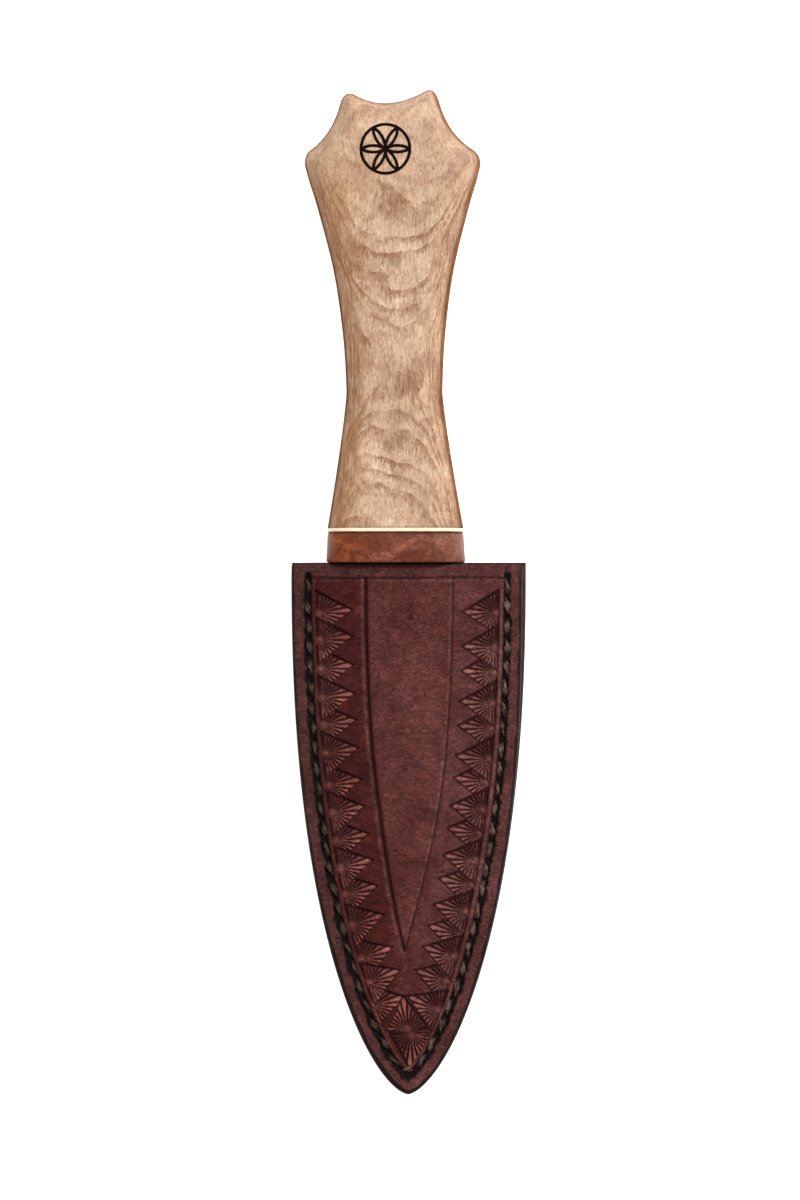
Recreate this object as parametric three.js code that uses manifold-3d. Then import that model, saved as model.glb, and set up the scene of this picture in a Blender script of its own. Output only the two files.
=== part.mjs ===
// A sheath knife: a straight spear-point knife with a flared, four-pointed ash handle, seated in a
// stitched leather belt sheath. Millimetres. The sheath lies on its belt loop with its tooled face up:
// Y runs from the sheath's tip to the pommel, X across, Z up.
// Until the last lines y = 0 is the mouth of the sheath; x = 0 is the sheath's middle line.
import * as THREE from 'three';
import { mergeVertices } from 'three/addons/utils/BufferGeometryUtils.js';
import Module from 'manifold-3d';

const wasm = await Module();
wasm.setup();

// ---------------------------------------------------------------- sheath dimensions
const sheathLength = 132.8;
const sheathHalfWidth = 29.25;
const taperPower = 1.25; // outline: x = halfWidth * cos(t)^taperPower
const dropPower = 0.855; //          y = -length * sin(t)^dropPower
const mouthCornerRadius = 1.2;
const outlineSteps = 14;

const strapThickness = 2.5;
const beltGap = 5;
const backThickness = 2.5;
const weltThickness = 4.4;
const frontThickness = 2.8;
const weltWidth = 10;

const strapOuterZ = 0;
const strapInnerZ = strapOuterZ + strapThickness;
const backZ = strapInnerZ + beltGap;
const weltZ = backZ + backThickness;
const frontZ = weltZ + weltThickness;
const sheathTopZ = frontZ + frontThickness;

// ---------------------------------------------------------------- stitching dimensions
const seamInset = 4.4; // from the sheath's edge to the middle of the stitches
const seamStart = 3.4; // from the mouth to the first hole
const stitchPitch = 5;
const threadWidth = 1.2;
const threadHeight = 0.8;
const grooveWidth = 1.8;
const grooveDepth = 0.6;
const awlHoleRadius = 0.85; // a diamond-shaped hole, corner to centre
const threadInHoleRadius = 0.6;

// ---------------------------------------------------------------- belt loop dimensions
const loopWidth = 28;
const loopTopY = -5;
const loopPad = 11; // the stitched end of the strap
const loopSlope = 9; // the bend between an end and the flat middle
const loopFlat = 40; // the flat middle, which a 40 mm belt passes under
const padStitchInset = 2.5;
const padStitchCount = 4; // stitches across the strap
const hiddenGrooveDepth = 1; // keeps the blade off the thread inside the pocket

// ---------------------------------------------------------------- knife dimensions
const knifeZ = weltZ + weltThickness / 2;
const knifeX = -3.3; // the knife sits left of the sheath's middle line
const knifeLean = -0.0076; // and leans left by this much per millimetre of height
const mouthClearance = 0.3;

const bolsterLength = 7.1;
const linerThickness = 0.35;
const spacerThickness = 0.85;
const bolsterStart = mouthClearance;
const linerStart = bolsterStart + bolsterLength;
const spacerStart = linerStart + linerThickness;
const gripStart = spacerStart + spacerThickness;

const bolsterMouthHalfWidth = 17.4;
const gripFrontHalfWidth = 17;
const pommelHalfWidth = 22;
const pommelPointY = 99.6; // height where the sides turn into the scalloped end
const rimWidth = 8; // how far the rounding reaches in from the handle's edge
const rimPower = 2.4; // 2 is a round edge, more is squarer
const gripColumns = 28;
const gripRows = 18;

// Half-width of the grip at its heights above the mouth, from the spacer over the waist to the side points.
const gripSidePoints = [
  [gripFrontHalfWidth, gripStart], [14.4, 24.3], [12.35, 39], [12.1, 45.5],
  [12.9, 58], [15, 73], [18.7, 88], [21.1, 96], [pommelHalfWidth, pommelPointY],
];
// The scalloped end, from the left side over four rounded corners to the right side. Every stretch is
// a quadratic curve: a start, then for each stretch the point it bends towards and the point it ends at.
const crownStart = [-pommelHalfWidth, pommelPointY];
const crownStretches = [
  [[-22.1, 101.9], [-20.9, 103.05]],
  [[-15, 107], [-12.95, 115.2]],
  [[-11.9, 118.3], [-9.3, 117.2]],
  [[-1.8, 112.6], [8, 117.75]],
  [[10.6, 119.6], [11.85, 115.2]],
  [[14.1, 107], [20.6, 103.05]],
  [[22.1, 101.7], [pommelHalfWidth, pommelPointY]],
];
// Half-thickness of the handle at its heights above the mouth.
const thicknessPoints = [[0, 10.5], [20, 10.3], [46, 9.7], [80, 10.8], [118, 12]];

const bladeLength = 110;
const bladeHalfWidth = 12;
const bladeHalfThickness = 2;
const bladeTaper = 0.9;
const edgeHalfThickness = 0.15;
const ridgePower = 0.4; // how the blade thins as it narrows: half-thickness goes with width to this power
const ricassoLength = 5; // the plain, full-thickness stretch next to the bolster
const grindLength = 4; // from the ricasso to the full bevel
const bladeStations = 12;
const tipHalfWidth = 0.35;
const tangLength = 86;
const tangWidth = 8;
const tangEndWidth = 5;
const tangThickness = 3.6;
const tangRoot = 3; // how far the tang's block reaches into the ricasso
const slotClearance = 0.3;
const epoxyWall = 1.2; // bedding on each side of the tang
const epoxyGap = 0.1;

// ---------------------------------------------------------------- modelling constants
const curveSamples = 60; // points taken along a free curve to measure against it
const past = 1; // how far a cutting tool reaches past the surface it opens
const bendReach = 0.45; // handle length of the strap's bends, as a share of the bend

// ---------------------------------------------------------------- solids and booleans
function closedGeometry(vertices, faces) {
  const geometry = new THREE.BufferGeometry();
  geometry.setAttribute('position', new THREE.Float32BufferAttribute(vertices.flat(), 3));
  geometry.setIndex(faces.flat());
  return geometry;
}

function toSolid(geometry) {
  const bare = geometry.clone();
  bare.deleteAttribute('normal');
  bare.deleteAttribute('uv');
  const merged = mergeVertices(bare);
  return new wasm.Manifold(new wasm.Mesh({
    numProp: 3,
    vertProperties: new Float32Array(merged.attributes.position.array),
    triVerts: new Uint32Array(merged.index.array),
  }));
}

function toGeometry(solid) {
  const mesh = solid.getMesh();
  const geometry = new THREE.BufferGeometry();
  geometry.setAttribute('position', new THREE.BufferAttribute(mesh.vertProperties, mesh.numProp));
  geometry.setIndex(new THREE.BufferAttribute(mesh.triVerts, 1));
  return geometry;
}

function cut(geometry, tools) {
  return toGeometry(tools.reduce((solid, tool) => solid.subtract(toSolid(tool)), toSolid(geometry)));
}

function join(geometries) {
  return toGeometry(geometries.map(toSolid).reduce((whole, solid) => whole.add(solid)));
}

function shapeOf(points) {
  return new THREE.Shape(points.map(([x, y]) => new THREE.Vector2(x, y)));
}

function plate(shape, z, thickness) {
  const geometry = new THREE.ExtrudeGeometry(shape, { depth: thickness, bevelEnabled: false });
  return geometry.translate(0, 0, z);
}

function block(width, length, thickness, startY) {
  return new THREE.BoxGeometry(width, length, thickness).translate(0, startY + length / 2, 0);
}

// ---------------------------------------------------------------- sheath outline
function outlinePoint(t) {
  return new THREE.Vector2(
    sheathHalfWidth * Math.cos(t) ** taperPower,
    -sheathLength * Math.sin(t) ** dropPower,
  );
}

// The right half of the outline moved inwards by a distance, from the mouth to the middle line.
function insetSide(distance, steps) {
  const points = [];
  const nudge = 1e-3;
  for (let i = 0; i <= steps; i += 1) {
    const t = THREE.MathUtils.clamp((i / steps) * (Math.PI / 2), nudge, Math.PI / 2 - nudge);
    const along = outlinePoint(t + nudge / 2).sub(outlinePoint(t - nudge / 2)).normalize();
    const inwards = new THREE.Vector2(along.y, -along.x);
    const point = outlinePoint(t).addScaledVector(inwards, distance);
    if (point.x <= 0) {
      const last = points.at(-1);
      const share = last.x / (last.x - point.x);
      points.push(last.clone().lerp(point, share).setX(0));
      return points;
    }
    points.push(point);
  }
  return [...points, new THREE.Vector2(0, points.at(-1).y)];
}

function mirrored(points) {
  return points.map((point) => new THREE.Vector2(-point.x, point.y)).reverse();
}

function outerSide() {
  const side = insetSide(0, outlineSteps).slice(1);
  const corner = new THREE.Path();
  const cornerX = sheathHalfWidth - mouthCornerRadius;
  corner.absarc(cornerX, -mouthCornerRadius, mouthCornerRadius, Math.PI / 2, 0, true);
  return [...corner.getPoints(3), ...side];
}

function panelShape() {
  const right = outerSide();
  const left = mirrored(right).slice(1);
  return new THREE.Shape([...right, ...left].reverse());
}

// ---------------------------------------------------------------- stitching
// Evenly spaced points down the right of the seam, over the tip and up the left.
function seamHoles() {
  const line = new THREE.CurvePath();
  const side = insetSide(seamInset, curveSamples).filter((point) => point.y <= -seamStart);
  side.unshift(new THREE.Vector2(side[0].x, -seamStart));
  side.slice(1).forEach((point, i) => line.add(new THREE.LineCurve(side[i], point)));
  const length = line.getLength();
  const perSide = Math.round(length / stitchPitch - 0.5);
  const right = [];
  for (let k = 0; k <= perSide; k += 1) {
    right.push(line.getPointAt(k / (perSide + 0.5)));
  }
  return [...right, ...mirrored(right)];
}

// A flat strip of the given width along a row of points.
function stripShape(points, width, endReach) {
  const left = [];
  const right = [];
  points.forEach((point, i) => {
    const before = points[Math.max(i - 1, 0)];
    const after = points[Math.min(i + 1, points.length - 1)];
    const along = after.clone().sub(before).normalize();
    const side = new THREE.Vector2(-along.y, along.x).multiplyScalar(width / 2);
    const reach = i === 0 ? -endReach : endReach;
    const isEnd = i === 0 || i === points.length - 1;
    const middle = point.clone().addScaledVector(along, isEnd ? reach : 0);
    left.push(middle.clone().add(side));
    right.push(middle.clone().sub(side));
  });
  return new THREE.Shape([...right, ...left.reverse()]);
}

function ringShape(width, length, centreY, ringWidth) {
  const rectangle = (grow) => {
    const x = width / 2 + grow;
    const low = centreY - length / 2 - grow;
    const high = centreY + length / 2 + grow;
    return [[-x, low], [x, low], [x, high], [-x, high]];
  };
  const shape = shapeOf(rectangle(ringWidth / 2));
  shape.holes.push(shapeOf(rectangle(-ringWidth / 2)));
  return shape;
}

function posts(points, radius, z, height) {
  return points.map((point) => {
    const post = new THREE.CylinderGeometry(radius, radius, height, 4);
    return post.rotateX(Math.PI / 2).translate(point.x, point.y, z + height / 2);
  });
}

const seamPoints = seamHoles();
const seamTools = [
  ...posts(seamPoints, awlHoleRadius, backZ - past, sheathTopZ - backZ + 2 * past),
  plate(stripShape(seamPoints, grooveWidth, grooveWidth / 2), sheathTopZ - grooveDepth, grooveDepth + past),
  plate(stripShape(seamPoints, grooveWidth, grooveWidth / 2), backZ - past, grooveDepth + past),
];

function seamThread() {
  const run = stripShape(seamPoints, threadWidth, threadWidth / 2);
  const frontRunZ = sheathTopZ - grooveDepth;
  const backRunZ = backZ + grooveDepth - threadHeight;
  return join([
    plate(run, frontRunZ, threadHeight),
    plate(run, backRunZ, threadHeight),
    ...posts(seamPoints, threadInHoleRadius, backRunZ + threadHeight / 2, frontRunZ - backRunZ),
  ]);
}

// ---------------------------------------------------------------- sheath pieces
function weltShape(sign) {
  const outer = outerSide();
  const inner = insetSide(weltWidth, outlineSteps).filter((point) => point.y < -mouthCornerRadius);
  inner.unshift(new THREE.Vector2(inner[0].x, 0));
  const outline = [...outer, ...inner.reverse()].map((point) => new THREE.Vector2(sign * point.x, point.y));
  return new THREE.Shape(sign > 0 ? outline.reverse() : outline);
}

const loopStitchWidth = loopWidth - 2 * padStitchInset;
const loopStitchLength = loopPad - 2 * padStitchInset;
const upperPadY = loopTopY - loopPad / 2;
const lowerPadY = upperPadY - loopPad - 2 * loopSlope - loopFlat;
const padInnerZ = backZ;
const padOuterZ = padInnerZ - strapThickness;

function padHoles(centreY) {
  const points = [];
  for (let k = 0; k <= padStitchCount; k += 1) {
    const x = -loopStitchWidth / 2 + (k * loopStitchWidth) / padStitchCount;
    points.push(new THREE.Vector2(x, centreY - loopStitchLength / 2));
    points.push(new THREE.Vector2(x, centreY + loopStitchLength / 2));
  }
  return points;
}

function loopThread(centreY) {
  const ring = ringShape(loopStitchWidth, loopStitchLength, centreY, threadWidth);
  const outerZ = padOuterZ - threadHeight;
  const innerZ = weltZ - hiddenGrooveDepth;
  return join([
    plate(ring, outerZ, threadHeight),
    plate(ring, innerZ, threadHeight),
    ...posts(padHoles(centreY), threadInHoleRadius, outerZ + threadHeight / 2, innerZ - outerZ),
  ]);
}

function padTools(centreY) {
  const groove = ringShape(loopStitchWidth, loopStitchLength, centreY, grooveWidth);
  return [
    ...posts(padHoles(centreY), awlHoleRadius, padOuterZ - past, weltZ - padOuterZ + 1.5 * past),
    plate(groove, weltZ - hiddenGrooveDepth, hiddenGrooveDepth + past),
  ];
}

// The strap's side view: two stitched ends on the sheath's back, bent out to a flat middle.
function beltLoop() {
  const ends = [loopTopY, loopTopY - loopPad, loopTopY - loopPad - loopSlope];
  const [topY, bendY, flatY] = ends;
  const [flatEndY, bendEndY, bottomY] = [flatY - loopFlat, lowerPadY + loopPad / 2, lowerPadY - loopPad / 2];
  const reach = loopSlope * bendReach;
  const profile = new THREE.Shape();
  profile.moveTo(topY, padInnerZ);
  profile.lineTo(bendY, padInnerZ);
  profile.bezierCurveTo(bendY - reach, padInnerZ, flatY + reach, strapInnerZ, flatY, strapInnerZ);
  profile.lineTo(flatEndY, strapInnerZ);
  profile.bezierCurveTo(flatEndY - reach, strapInnerZ, bendEndY + reach, padInnerZ, bendEndY, padInnerZ);
  profile.lineTo(bottomY, padInnerZ);
  profile.lineTo(bottomY, padOuterZ);
  profile.lineTo(bendEndY, padOuterZ);
  profile.bezierCurveTo(bendEndY + reach, padOuterZ, flatEndY - reach, strapOuterZ, flatEndY, strapOuterZ);
  profile.lineTo(flatY, strapOuterZ);
  profile.bezierCurveTo(flatY + reach, strapOuterZ, bendY - reach, padOuterZ, bendY, padOuterZ);
  profile.lineTo(topY, padOuterZ);
  const strap = new THREE.ExtrudeGeometry(profile, { depth: loopWidth, bevelEnabled: false, curveSegments: 6 });
  const alongY = new THREE.Vector3(0, 1, 0);
  const alongZ = new THREE.Vector3(0, 0, 1);
  const alongX = new THREE.Vector3(1, 0, 0);
  strap.applyMatrix4(new THREE.Matrix4().makeBasis(alongY, alongZ, alongX));
  return strap.translate(-loopWidth / 2, 0, 0);
}

// ---------------------------------------------------------------- handle
// The knife is modelled upright about its own middle plane, x = 0 and z = 0, and is placed afterwards.
const toVector = ([x, y]) => new THREE.Vector2(x, y);
const gripSide = new THREE.SplineCurve(gripSidePoints.map(toVector));
const crown = new THREE.Path();
crown.moveTo(...crownStart);
crownStretches.forEach(([bend, end]) => crown.quadraticCurveTo(...bend, ...end));
const thicknessSamples = new THREE.SplineCurve(thicknessPoints.map(toVector)).getPoints(curveSamples);

function halfThickness(y) {
  const next = Math.max(thicknessSamples.findIndex((sample) => sample.x >= y), 1);
  const [low, high] = [thicknessSamples[next - 1], thicknessSamples[next]];
  return THREE.MathUtils.mapLinear(y, low.x, high.x, low.y, high.y);
}

// Height of the rounded face above the middle plane, as a share of the full half-thickness.
function rimShare(distance) {
  const inside = Math.max(1 - distance / rimWidth, 0);
  return (1 - inside ** rimPower) ** (1 / rimPower);
}

const crossSpacing = (i) => 0.5 - 0.5 * Math.cos((Math.PI * i) / gripColumns);

// Joins a front and a back grid of points, which share their first and last columns, into a closed skin.
function skinOf(heightRows, closedTop) {
  const vertices = [];
  const front = [];
  const back = [];
  heightRows.forEach((row, j) => {
    const shareRow = closedTop && j === heightRows.length - 1;
    front.push([]);
    back.push([]);
    row.forEach(([x, y, z], i) => {
      const onRim = i === 0 || i === row.length - 1 || shareRow;
      front[j].push(vertices.push([x, y, onRim ? 0 : z]) - 1);
      back[j].push(onRim ? front[j][i] : vertices.push([x, y, -z]) - 1);
    });
  });
  const faces = [];
  const quad = (a, b, c, d) => {
    [[a, b, c], [a, c, d]].forEach((face) => {
      if (new Set(face).size === 3) faces.push(face);
    });
  };
  const lastRow = heightRows.length - 1;
  for (let i = 0; i < heightRows[0].length - 1; i += 1) {
    for (let j = 0; j < lastRow; j += 1) {
      quad(front[j][i], front[j][i + 1], front[j + 1][i + 1], front[j + 1][i]);
      quad(back[j][i + 1], back[j][i], back[j + 1][i], back[j + 1][i + 1]);
    }
    quad(back[0][i], back[0][i + 1], front[0][i + 1], front[0][i]);
    if (!closedTop) quad(front[lastRow][i], front[lastRow][i + 1], back[lastRow][i + 1], back[lastRow][i]);
  }
  return closedGeometry(vertices, faces);
}

// A short length of handle between two heights, with flat ends.
function handleBlock(startY, endY, startHalfWidth, endHalfWidth) {
  const row = (y, halfWidth) => {
    const points = [];
    for (let i = 0; i <= gripColumns; i += 1) {
      const x = halfWidth * (2 * crossSpacing(i) - 1);
      points.push([x, y, halfThickness(y) * rimShare(halfWidth - Math.abs(x))]);
    }
    return points;
  };
  return skinOf([row(startY, startHalfWidth), row(endY, endHalfWidth)], false);
}

function distanceToRim(point, rim) {
  const segment = new THREE.Line3();
  const nearest = new THREE.Vector3();
  const from = new THREE.Vector3(point.x, point.y, 0);
  let best = Infinity;
  for (let i = 0; i < rim.length - 1; i += 1) {
    segment.start.set(rim[i].x, rim[i].y, 0);
    segment.end.set(rim[i + 1].x, rim[i + 1].y, 0);
    segment.closestPointToPoint(from, true, nearest);
    best = Math.min(best, nearest.distanceTo(from));
  }
  return best;
}

// The grip's face is stretched between its straight front end, its two sides and its scalloped end.
function gripBody() {
  const sidePoints = gripSide.getSpacedPoints(curveSamples);
  const endPoints = crown.getSpacedPoints(2 * curveSamples);
  const rim = [...mirrored(sidePoints).reverse(), ...endPoints, ...sidePoints.slice().reverse()];
  const rows = [];
  for (let j = 0; j <= gripRows; j += 1) {
    const v = Math.sin((Math.PI / 2) * (j / gripRows));
    const side = gripSide.getPointAt(v);
    const row = [];
    for (let i = 0; i <= gripColumns; i += 1) {
      const u = crossSpacing(i);
      const end = crown.getPointAt(u);
      const across = 2 * u - 1;
      const bottom = new THREE.Vector2(gripFrontHalfWidth * across, gripStart);
      const corners = new THREE.Vector2(
        THREE.MathUtils.lerp(gripFrontHalfWidth, pommelHalfWidth, v) * across,
        THREE.MathUtils.lerp(gripStart, pommelPointY, v),
      );
      const x = THREE.MathUtils.lerp(bottom.x, end.x, v) + side.x * across - corners.x;
      const y = THREE.MathUtils.lerp(bottom.y, end.y, v) + side.y - corners.y;
      const share = rimShare(distanceToRim(new THREE.Vector2(x, y), rim));
      row.push([x, y, halfThickness(y) * share]);
    }
    rows.push(row);
  }
  return skinOf(rows, true);
}

// ---------------------------------------------------------------- blade and tang
function tang(grow, startY, endY) {
  const geometry = block(1, endY - startY, tangThickness + 2 * grow, startY);
  const position = geometry.attributes.position;
  for (let i = 0; i < position.count; i += 1) {
    const share = THREE.MathUtils.clamp(position.getY(i) / tangLength, 0, 1);
    const width = THREE.MathUtils.lerp(tangWidth, tangEndWidth, share) + 2 * grow;
    position.setX(i, position.getX(i) * width);
  }
  return geometry;
}

function bladeBody() {
  const shoulderY = bolsterStart;
  const stations = [[shoulderY, bladeHalfWidth, bladeHalfThickness]];
  stations.push([-ricassoLength, bladeHalfWidth, bladeHalfThickness]);
  const grindY = -ricassoLength - grindLength;
  for (let k = 0; k <= bladeStations; k += 1) {
    const y = THREE.MathUtils.lerp(grindY, -bladeLength, Math.sin((Math.PI / 2) * (k / bladeStations)));
    const share = (grindY - y) / (bladeLength + grindY);
    const half = Math.max(bladeHalfWidth * (1 - share ** 2) ** bladeTaper, tipHalfWidth);
    stations.push([y, half, edgeHalfThickness]);
  }
  const vertices = [];
  const faces = [];
  const sides = 6;
  stations.forEach(([y, half, edge]) => {
    const ridge = Math.max(bladeHalfThickness * (half / bladeHalfWidth) ** ridgePower, edge);
    vertices.push([-half, y, -edge], [0, y, -ridge], [half, y, -edge]);
    vertices.push([half, y, edge], [0, y, ridge], [-half, y, edge]);
  });
  for (let j = 0; j < stations.length - 1; j += 1) {
    for (let i = 0; i < sides; i += 1) {
      const next = (i + 1) % sides;
      const [a, b] = [j * sides + i, j * sides + next];
      faces.push([a, b + sides, a + sides], [a, b, b + sides]);
    }
  }
  const last = (stations.length - 1) * sides;
  for (let i = 1; i < sides - 1; i += 1) {
    faces.push([0, i + 1, i], [last, last + i, last + i + 1]);
  }
  return join([closedGeometry(vertices, faces), tang(0, shoulderY - tangRoot, shoulderY + tangLength)]);
}

function tangBedding() {
  const wall = 2 * epoxyWall;
  const outer = block(tangWidth + wall, tangLength + wall, tangThickness + wall, gripStart);
  return cut(outer, [tang(epoxyGap, gripStart - past, bolsterStart + tangLength + epoxyGap)]);
}

function tangHole() {
  const grow = epoxyWall + epoxyGap;
  return block(tangWidth + 2 * grow, tangLength + 2 * grow + past, tangThickness + 2 * grow, gripStart - past);
}

// ---------------------------------------------------------------- assembly
const leather = { color: 0x5a332e, roughness: 0.6, metalness: 0 };
const rawLeather = { color: 0x3a221d, roughness: 0.75, metalness: 0 };
const thread = { color: 0x1d1613, roughness: 0.5, metalness: 0 };
const ash = { color: 0xc8a27c, roughness: 0.6, metalness: 0 };
const burl = { color: 0x8a4f36, roughness: 0.45, metalness: 0 };
const maple = { color: 0xecd2a2, roughness: 0.55, metalness: 0 };
const darkFibre = { color: 0x2a1a14, roughness: 0.6, metalness: 0 };
const steel = { color: 0xb8bcc0, roughness: 0.32, metalness: 1 };
const epoxy = { color: 0xb09a6a, roughness: 0.4, metalness: 0 };

function addPiece(group, name, geometry, finish) {
  const mesh = new THREE.Mesh(geometry, new THREE.MeshStandardMaterial(finish));
  mesh.name = name;
  group.add(mesh);
}

const sheath = new THREE.Group();
const upperPadTools = padTools(upperPadY);
const lowerPadTools = padTools(lowerPadY);
addPiece(sheath, 'front_panel', cut(plate(panelShape(), frontZ, frontThickness), seamTools), leather);
addPiece(sheath, 'welt_left', cut(plate(weltShape(-1), weltZ, weltThickness), seamTools), rawLeather);
addPiece(sheath, 'welt_right', cut(plate(weltShape(1), weltZ, weltThickness), seamTools), rawLeather);
const backTools = [...seamTools, ...upperPadTools, ...lowerPadTools];
addPiece(sheath, 'back_panel', cut(plate(panelShape(), backZ, backThickness), backTools), leather);
addPiece(sheath, 'seam_thread', seamThread(), thread);
addPiece(sheath, 'belt_loop', cut(beltLoop(), [...upperPadTools, ...lowerPadTools]), leather);
addPiece(sheath, 'loop_thread_upper', loopThread(upperPadY), thread);
addPiece(sheath, 'loop_thread_lower', loopThread(lowerPadY), thread);

const knife = new THREE.Group();
const slot = tang(slotClearance, bolsterStart - past, gripStart + past);
const bolster = handleBlock(bolsterStart, linerStart, bolsterMouthHalfWidth, gripFrontHalfWidth);
const liner = handleBlock(linerStart, spacerStart, gripFrontHalfWidth, gripFrontHalfWidth);
const spacer = handleBlock(spacerStart, gripStart, gripFrontHalfWidth, gripFrontHalfWidth);
const knifePieces = [
  ['blade', bladeBody(), steel],
  ['bolster', cut(bolster, [slot]), burl],
  ['dark_liner', cut(liner, [slot]), darkFibre],
  ['spacer', cut(spacer, [slot]), maple],
  ['grip', cut(gripBody(), [tangHole()]), ash],
  ['tang_epoxy', tangBedding(), epoxy],
];
const leanLeft = new THREE.Matrix4().set(1, knifeLean, 0, 0, 0, 1, 0, 0, 0, 0, 1, 0, 0, 0, 0, 1);
knifePieces.forEach(([name, geometry, finish]) => {
  geometry.applyMatrix4(leanLeft).translate(knifeX, 0, knifeZ);
  addPiece(knife, name, geometry, finish);
});

// The finished part stands on z = 0, centred between the sheath's tip and the pommel.
const assembly = new THREE.Group();
assembly.add(sheath, knife);
const extent = new THREE.Box3().setFromObject(assembly);
assembly.position.y = -(extent.min.y + extent.max.y) / 2;

export default assembly;
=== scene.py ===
"""Looks for the sheath knife: tooled and stitched leather, figured ash, burl, maple and ground steel.

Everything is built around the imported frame. Lengths in this script are millimetres in the row frame,
and MM turns them into Blender's metres when a mesh is made.
"""
import math

import bmesh
import bpy
import numpy as np
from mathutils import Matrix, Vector


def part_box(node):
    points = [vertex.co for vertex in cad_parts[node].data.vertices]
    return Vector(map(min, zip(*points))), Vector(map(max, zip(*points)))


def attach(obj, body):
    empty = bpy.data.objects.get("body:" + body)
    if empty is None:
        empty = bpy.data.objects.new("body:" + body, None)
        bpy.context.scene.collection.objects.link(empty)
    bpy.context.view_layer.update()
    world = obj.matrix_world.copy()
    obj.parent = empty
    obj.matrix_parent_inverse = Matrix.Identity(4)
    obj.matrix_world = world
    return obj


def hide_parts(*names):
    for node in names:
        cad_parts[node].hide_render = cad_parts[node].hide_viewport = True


MM = 0.001

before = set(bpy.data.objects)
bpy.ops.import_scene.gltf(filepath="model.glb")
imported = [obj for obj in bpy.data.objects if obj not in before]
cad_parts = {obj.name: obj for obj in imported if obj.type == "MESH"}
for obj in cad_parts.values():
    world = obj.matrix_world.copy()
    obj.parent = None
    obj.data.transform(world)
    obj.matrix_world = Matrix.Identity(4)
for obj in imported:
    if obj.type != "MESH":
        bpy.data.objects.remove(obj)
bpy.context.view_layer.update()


def box_mm(node):
    """A CAD node's lowest and highest corners, in millimetres."""
    low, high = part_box(node)
    return np.array(low) / MM, np.array(high) / MM


# ------------------------------------------------------------------ measures taken from the frame
FRONT_LOW, FRONT_HIGH = box_mm("front_panel")
BACK_LOW, BACK_HIGH = box_mm("back_panel")
STRAP_LOW, STRAP_HIGH = box_mm("belt_loop")
BOLSTER_LOW, BOLSTER_HIGH = box_mm("bolster")
GRIP_LOW, GRIP_HIGH = box_mm("grip")
BLADE_LOW, BLADE_HIGH = box_mm("blade")

MOUTH_Y = float(FRONT_HIGH[1])
SHEATH_LENGTH = FRONT_HIGH[1] - FRONT_LOW[1]
SHEATH_HALF = (FRONT_HIGH[0] - FRONT_LOW[0]) / 2
FACE_Z = FRONT_HIGH[2]
FRONT_INNER_Z = FRONT_LOW[2]
BACK_INNER_Z = BACK_HIGH[2]
BACK_FACE_Z = BACK_LOW[2]
KNIFE_Z = float(BLADE_LOW[2] + BLADE_HIGH[2]) / 2
GRIP_START = GRIP_LOW[1]

# ------------------------------------------------------------------ driving dimensions
SEED = 20261117
TINY = 1e-9
# How many points are compared with a whole outline at a time, to save memory.
CHUNK = 4000

# Sheath outline, the same curve as the CAD's: x = half * cos(t)^TAPER, y = -length * sin(t)^DROP.
TAPER = 1.25
DROP = 0.855
CORNER_RADIUS = 1.2
WELT_WIDTH = 10.0
WELT_BULGE = 0.08
# Distances from a sheet's edge at which its rounded rim is drawn, and the bevel of its inner edge.
ROUNDED_STEPS = [0, 0.04, 0.14, 0.30, 0.52, 0.80, 1.10]
SHEET_BEVEL = 0.15
# The front swells over the blade, from this far inside the edge.
DOME_HEIGHT = 0.75
DOME_INSET = 7.0
# Near the mouth the front's right edge stops short of the layers under it.
RIGHT_EDGE_SHORT = 0.75

# Seam: the stitch holes' distance from the edge, the first ones' from the mouth, and the thread's groove.
SEAM_INSET = 4.4
SEAM_START = 3.4
STITCH_PITCH = 5.0
GROOVE_DEPTH = 0.8
FRONT_GROOVE_WIDTH = 2.7
BACK_GROOVE_WIDTH = 2.0
# The pressed-up lips beside the groove: distance from the edge, width and height.
INNER_LIP = (5.62, 0.26, 0.16)
OUTER_LIP = (2.9, 0.5, 0.08)

# Tooled lines, as distances from the mouth and from the edge.
TOP_LINE_DROP = 3.75
V_LINE_INSET = 18.35
V_LINE_END = 97.0
# Their cuts' widths and depths. The V's left side was cut wider and deeper than its right one.
TOP_LINE_CUT = (0.9, 0.42)
V_RIGHT_CUT = (0.7, 0.4)
V_LEFT_CUT = (1.2, 0.5)
# Height of the raised strip beside the V.
V_STRIP_HEIGHT = 0.14
# At its right end the top line turns down: the distance from the side, the cut and where it ends.
TURN_INSET = 2.4
TURN_CUT = (0.8, 0.3)
TURN_END = 6.2

# Fan stamps: a triangle with its base at the seam, and bars that spread from a hub near the base.
STAMP_BASE = 12.6
STAMP_REACH = 10.0
STAMP_HUB = 1.0
STAMP_DEPTH = 0.85
STAMP_RAISED = 0.62
STAMP_RAYS = 13
STAMP_CUT_WIDTH = 0.55
STAMP_EDGE = 0.22
LEFT_INSET = 5.95
RIGHT_INSET = 6.25
LEFT_TILT = 4.0
# How much of an older fan still shows inside one struck over it.
OLDER_STAMP_SHARE = 0.35
# How far below the mouth the points of the two rows of fans lie. They were struck by hand, unevenly.
LEFT_FANS = [11.8, 18.4, 25.5, 32.6, 39.2, 46.2, 54.0, 60.7, 67.5, 74.0, 80.5, 87.7, 95.8, 101.4]
RIGHT_FANS = [12.3, 20.9, 27.0, 34.6, 40.7, 48.2, 53.7, 60.6, 66.2, 72.9, 78.7, 85.2, 90.5, 95.7, 101.5]
# The four fans at the tip: the x of the base's middle, its distance below the mouth and its direction.
TIP_FANS = [(-9.7, 110.8, 15), (8.4, 112.0, 156), (-0.1, 117.4, 97), (0.7, 117.0, -92)]

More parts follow.
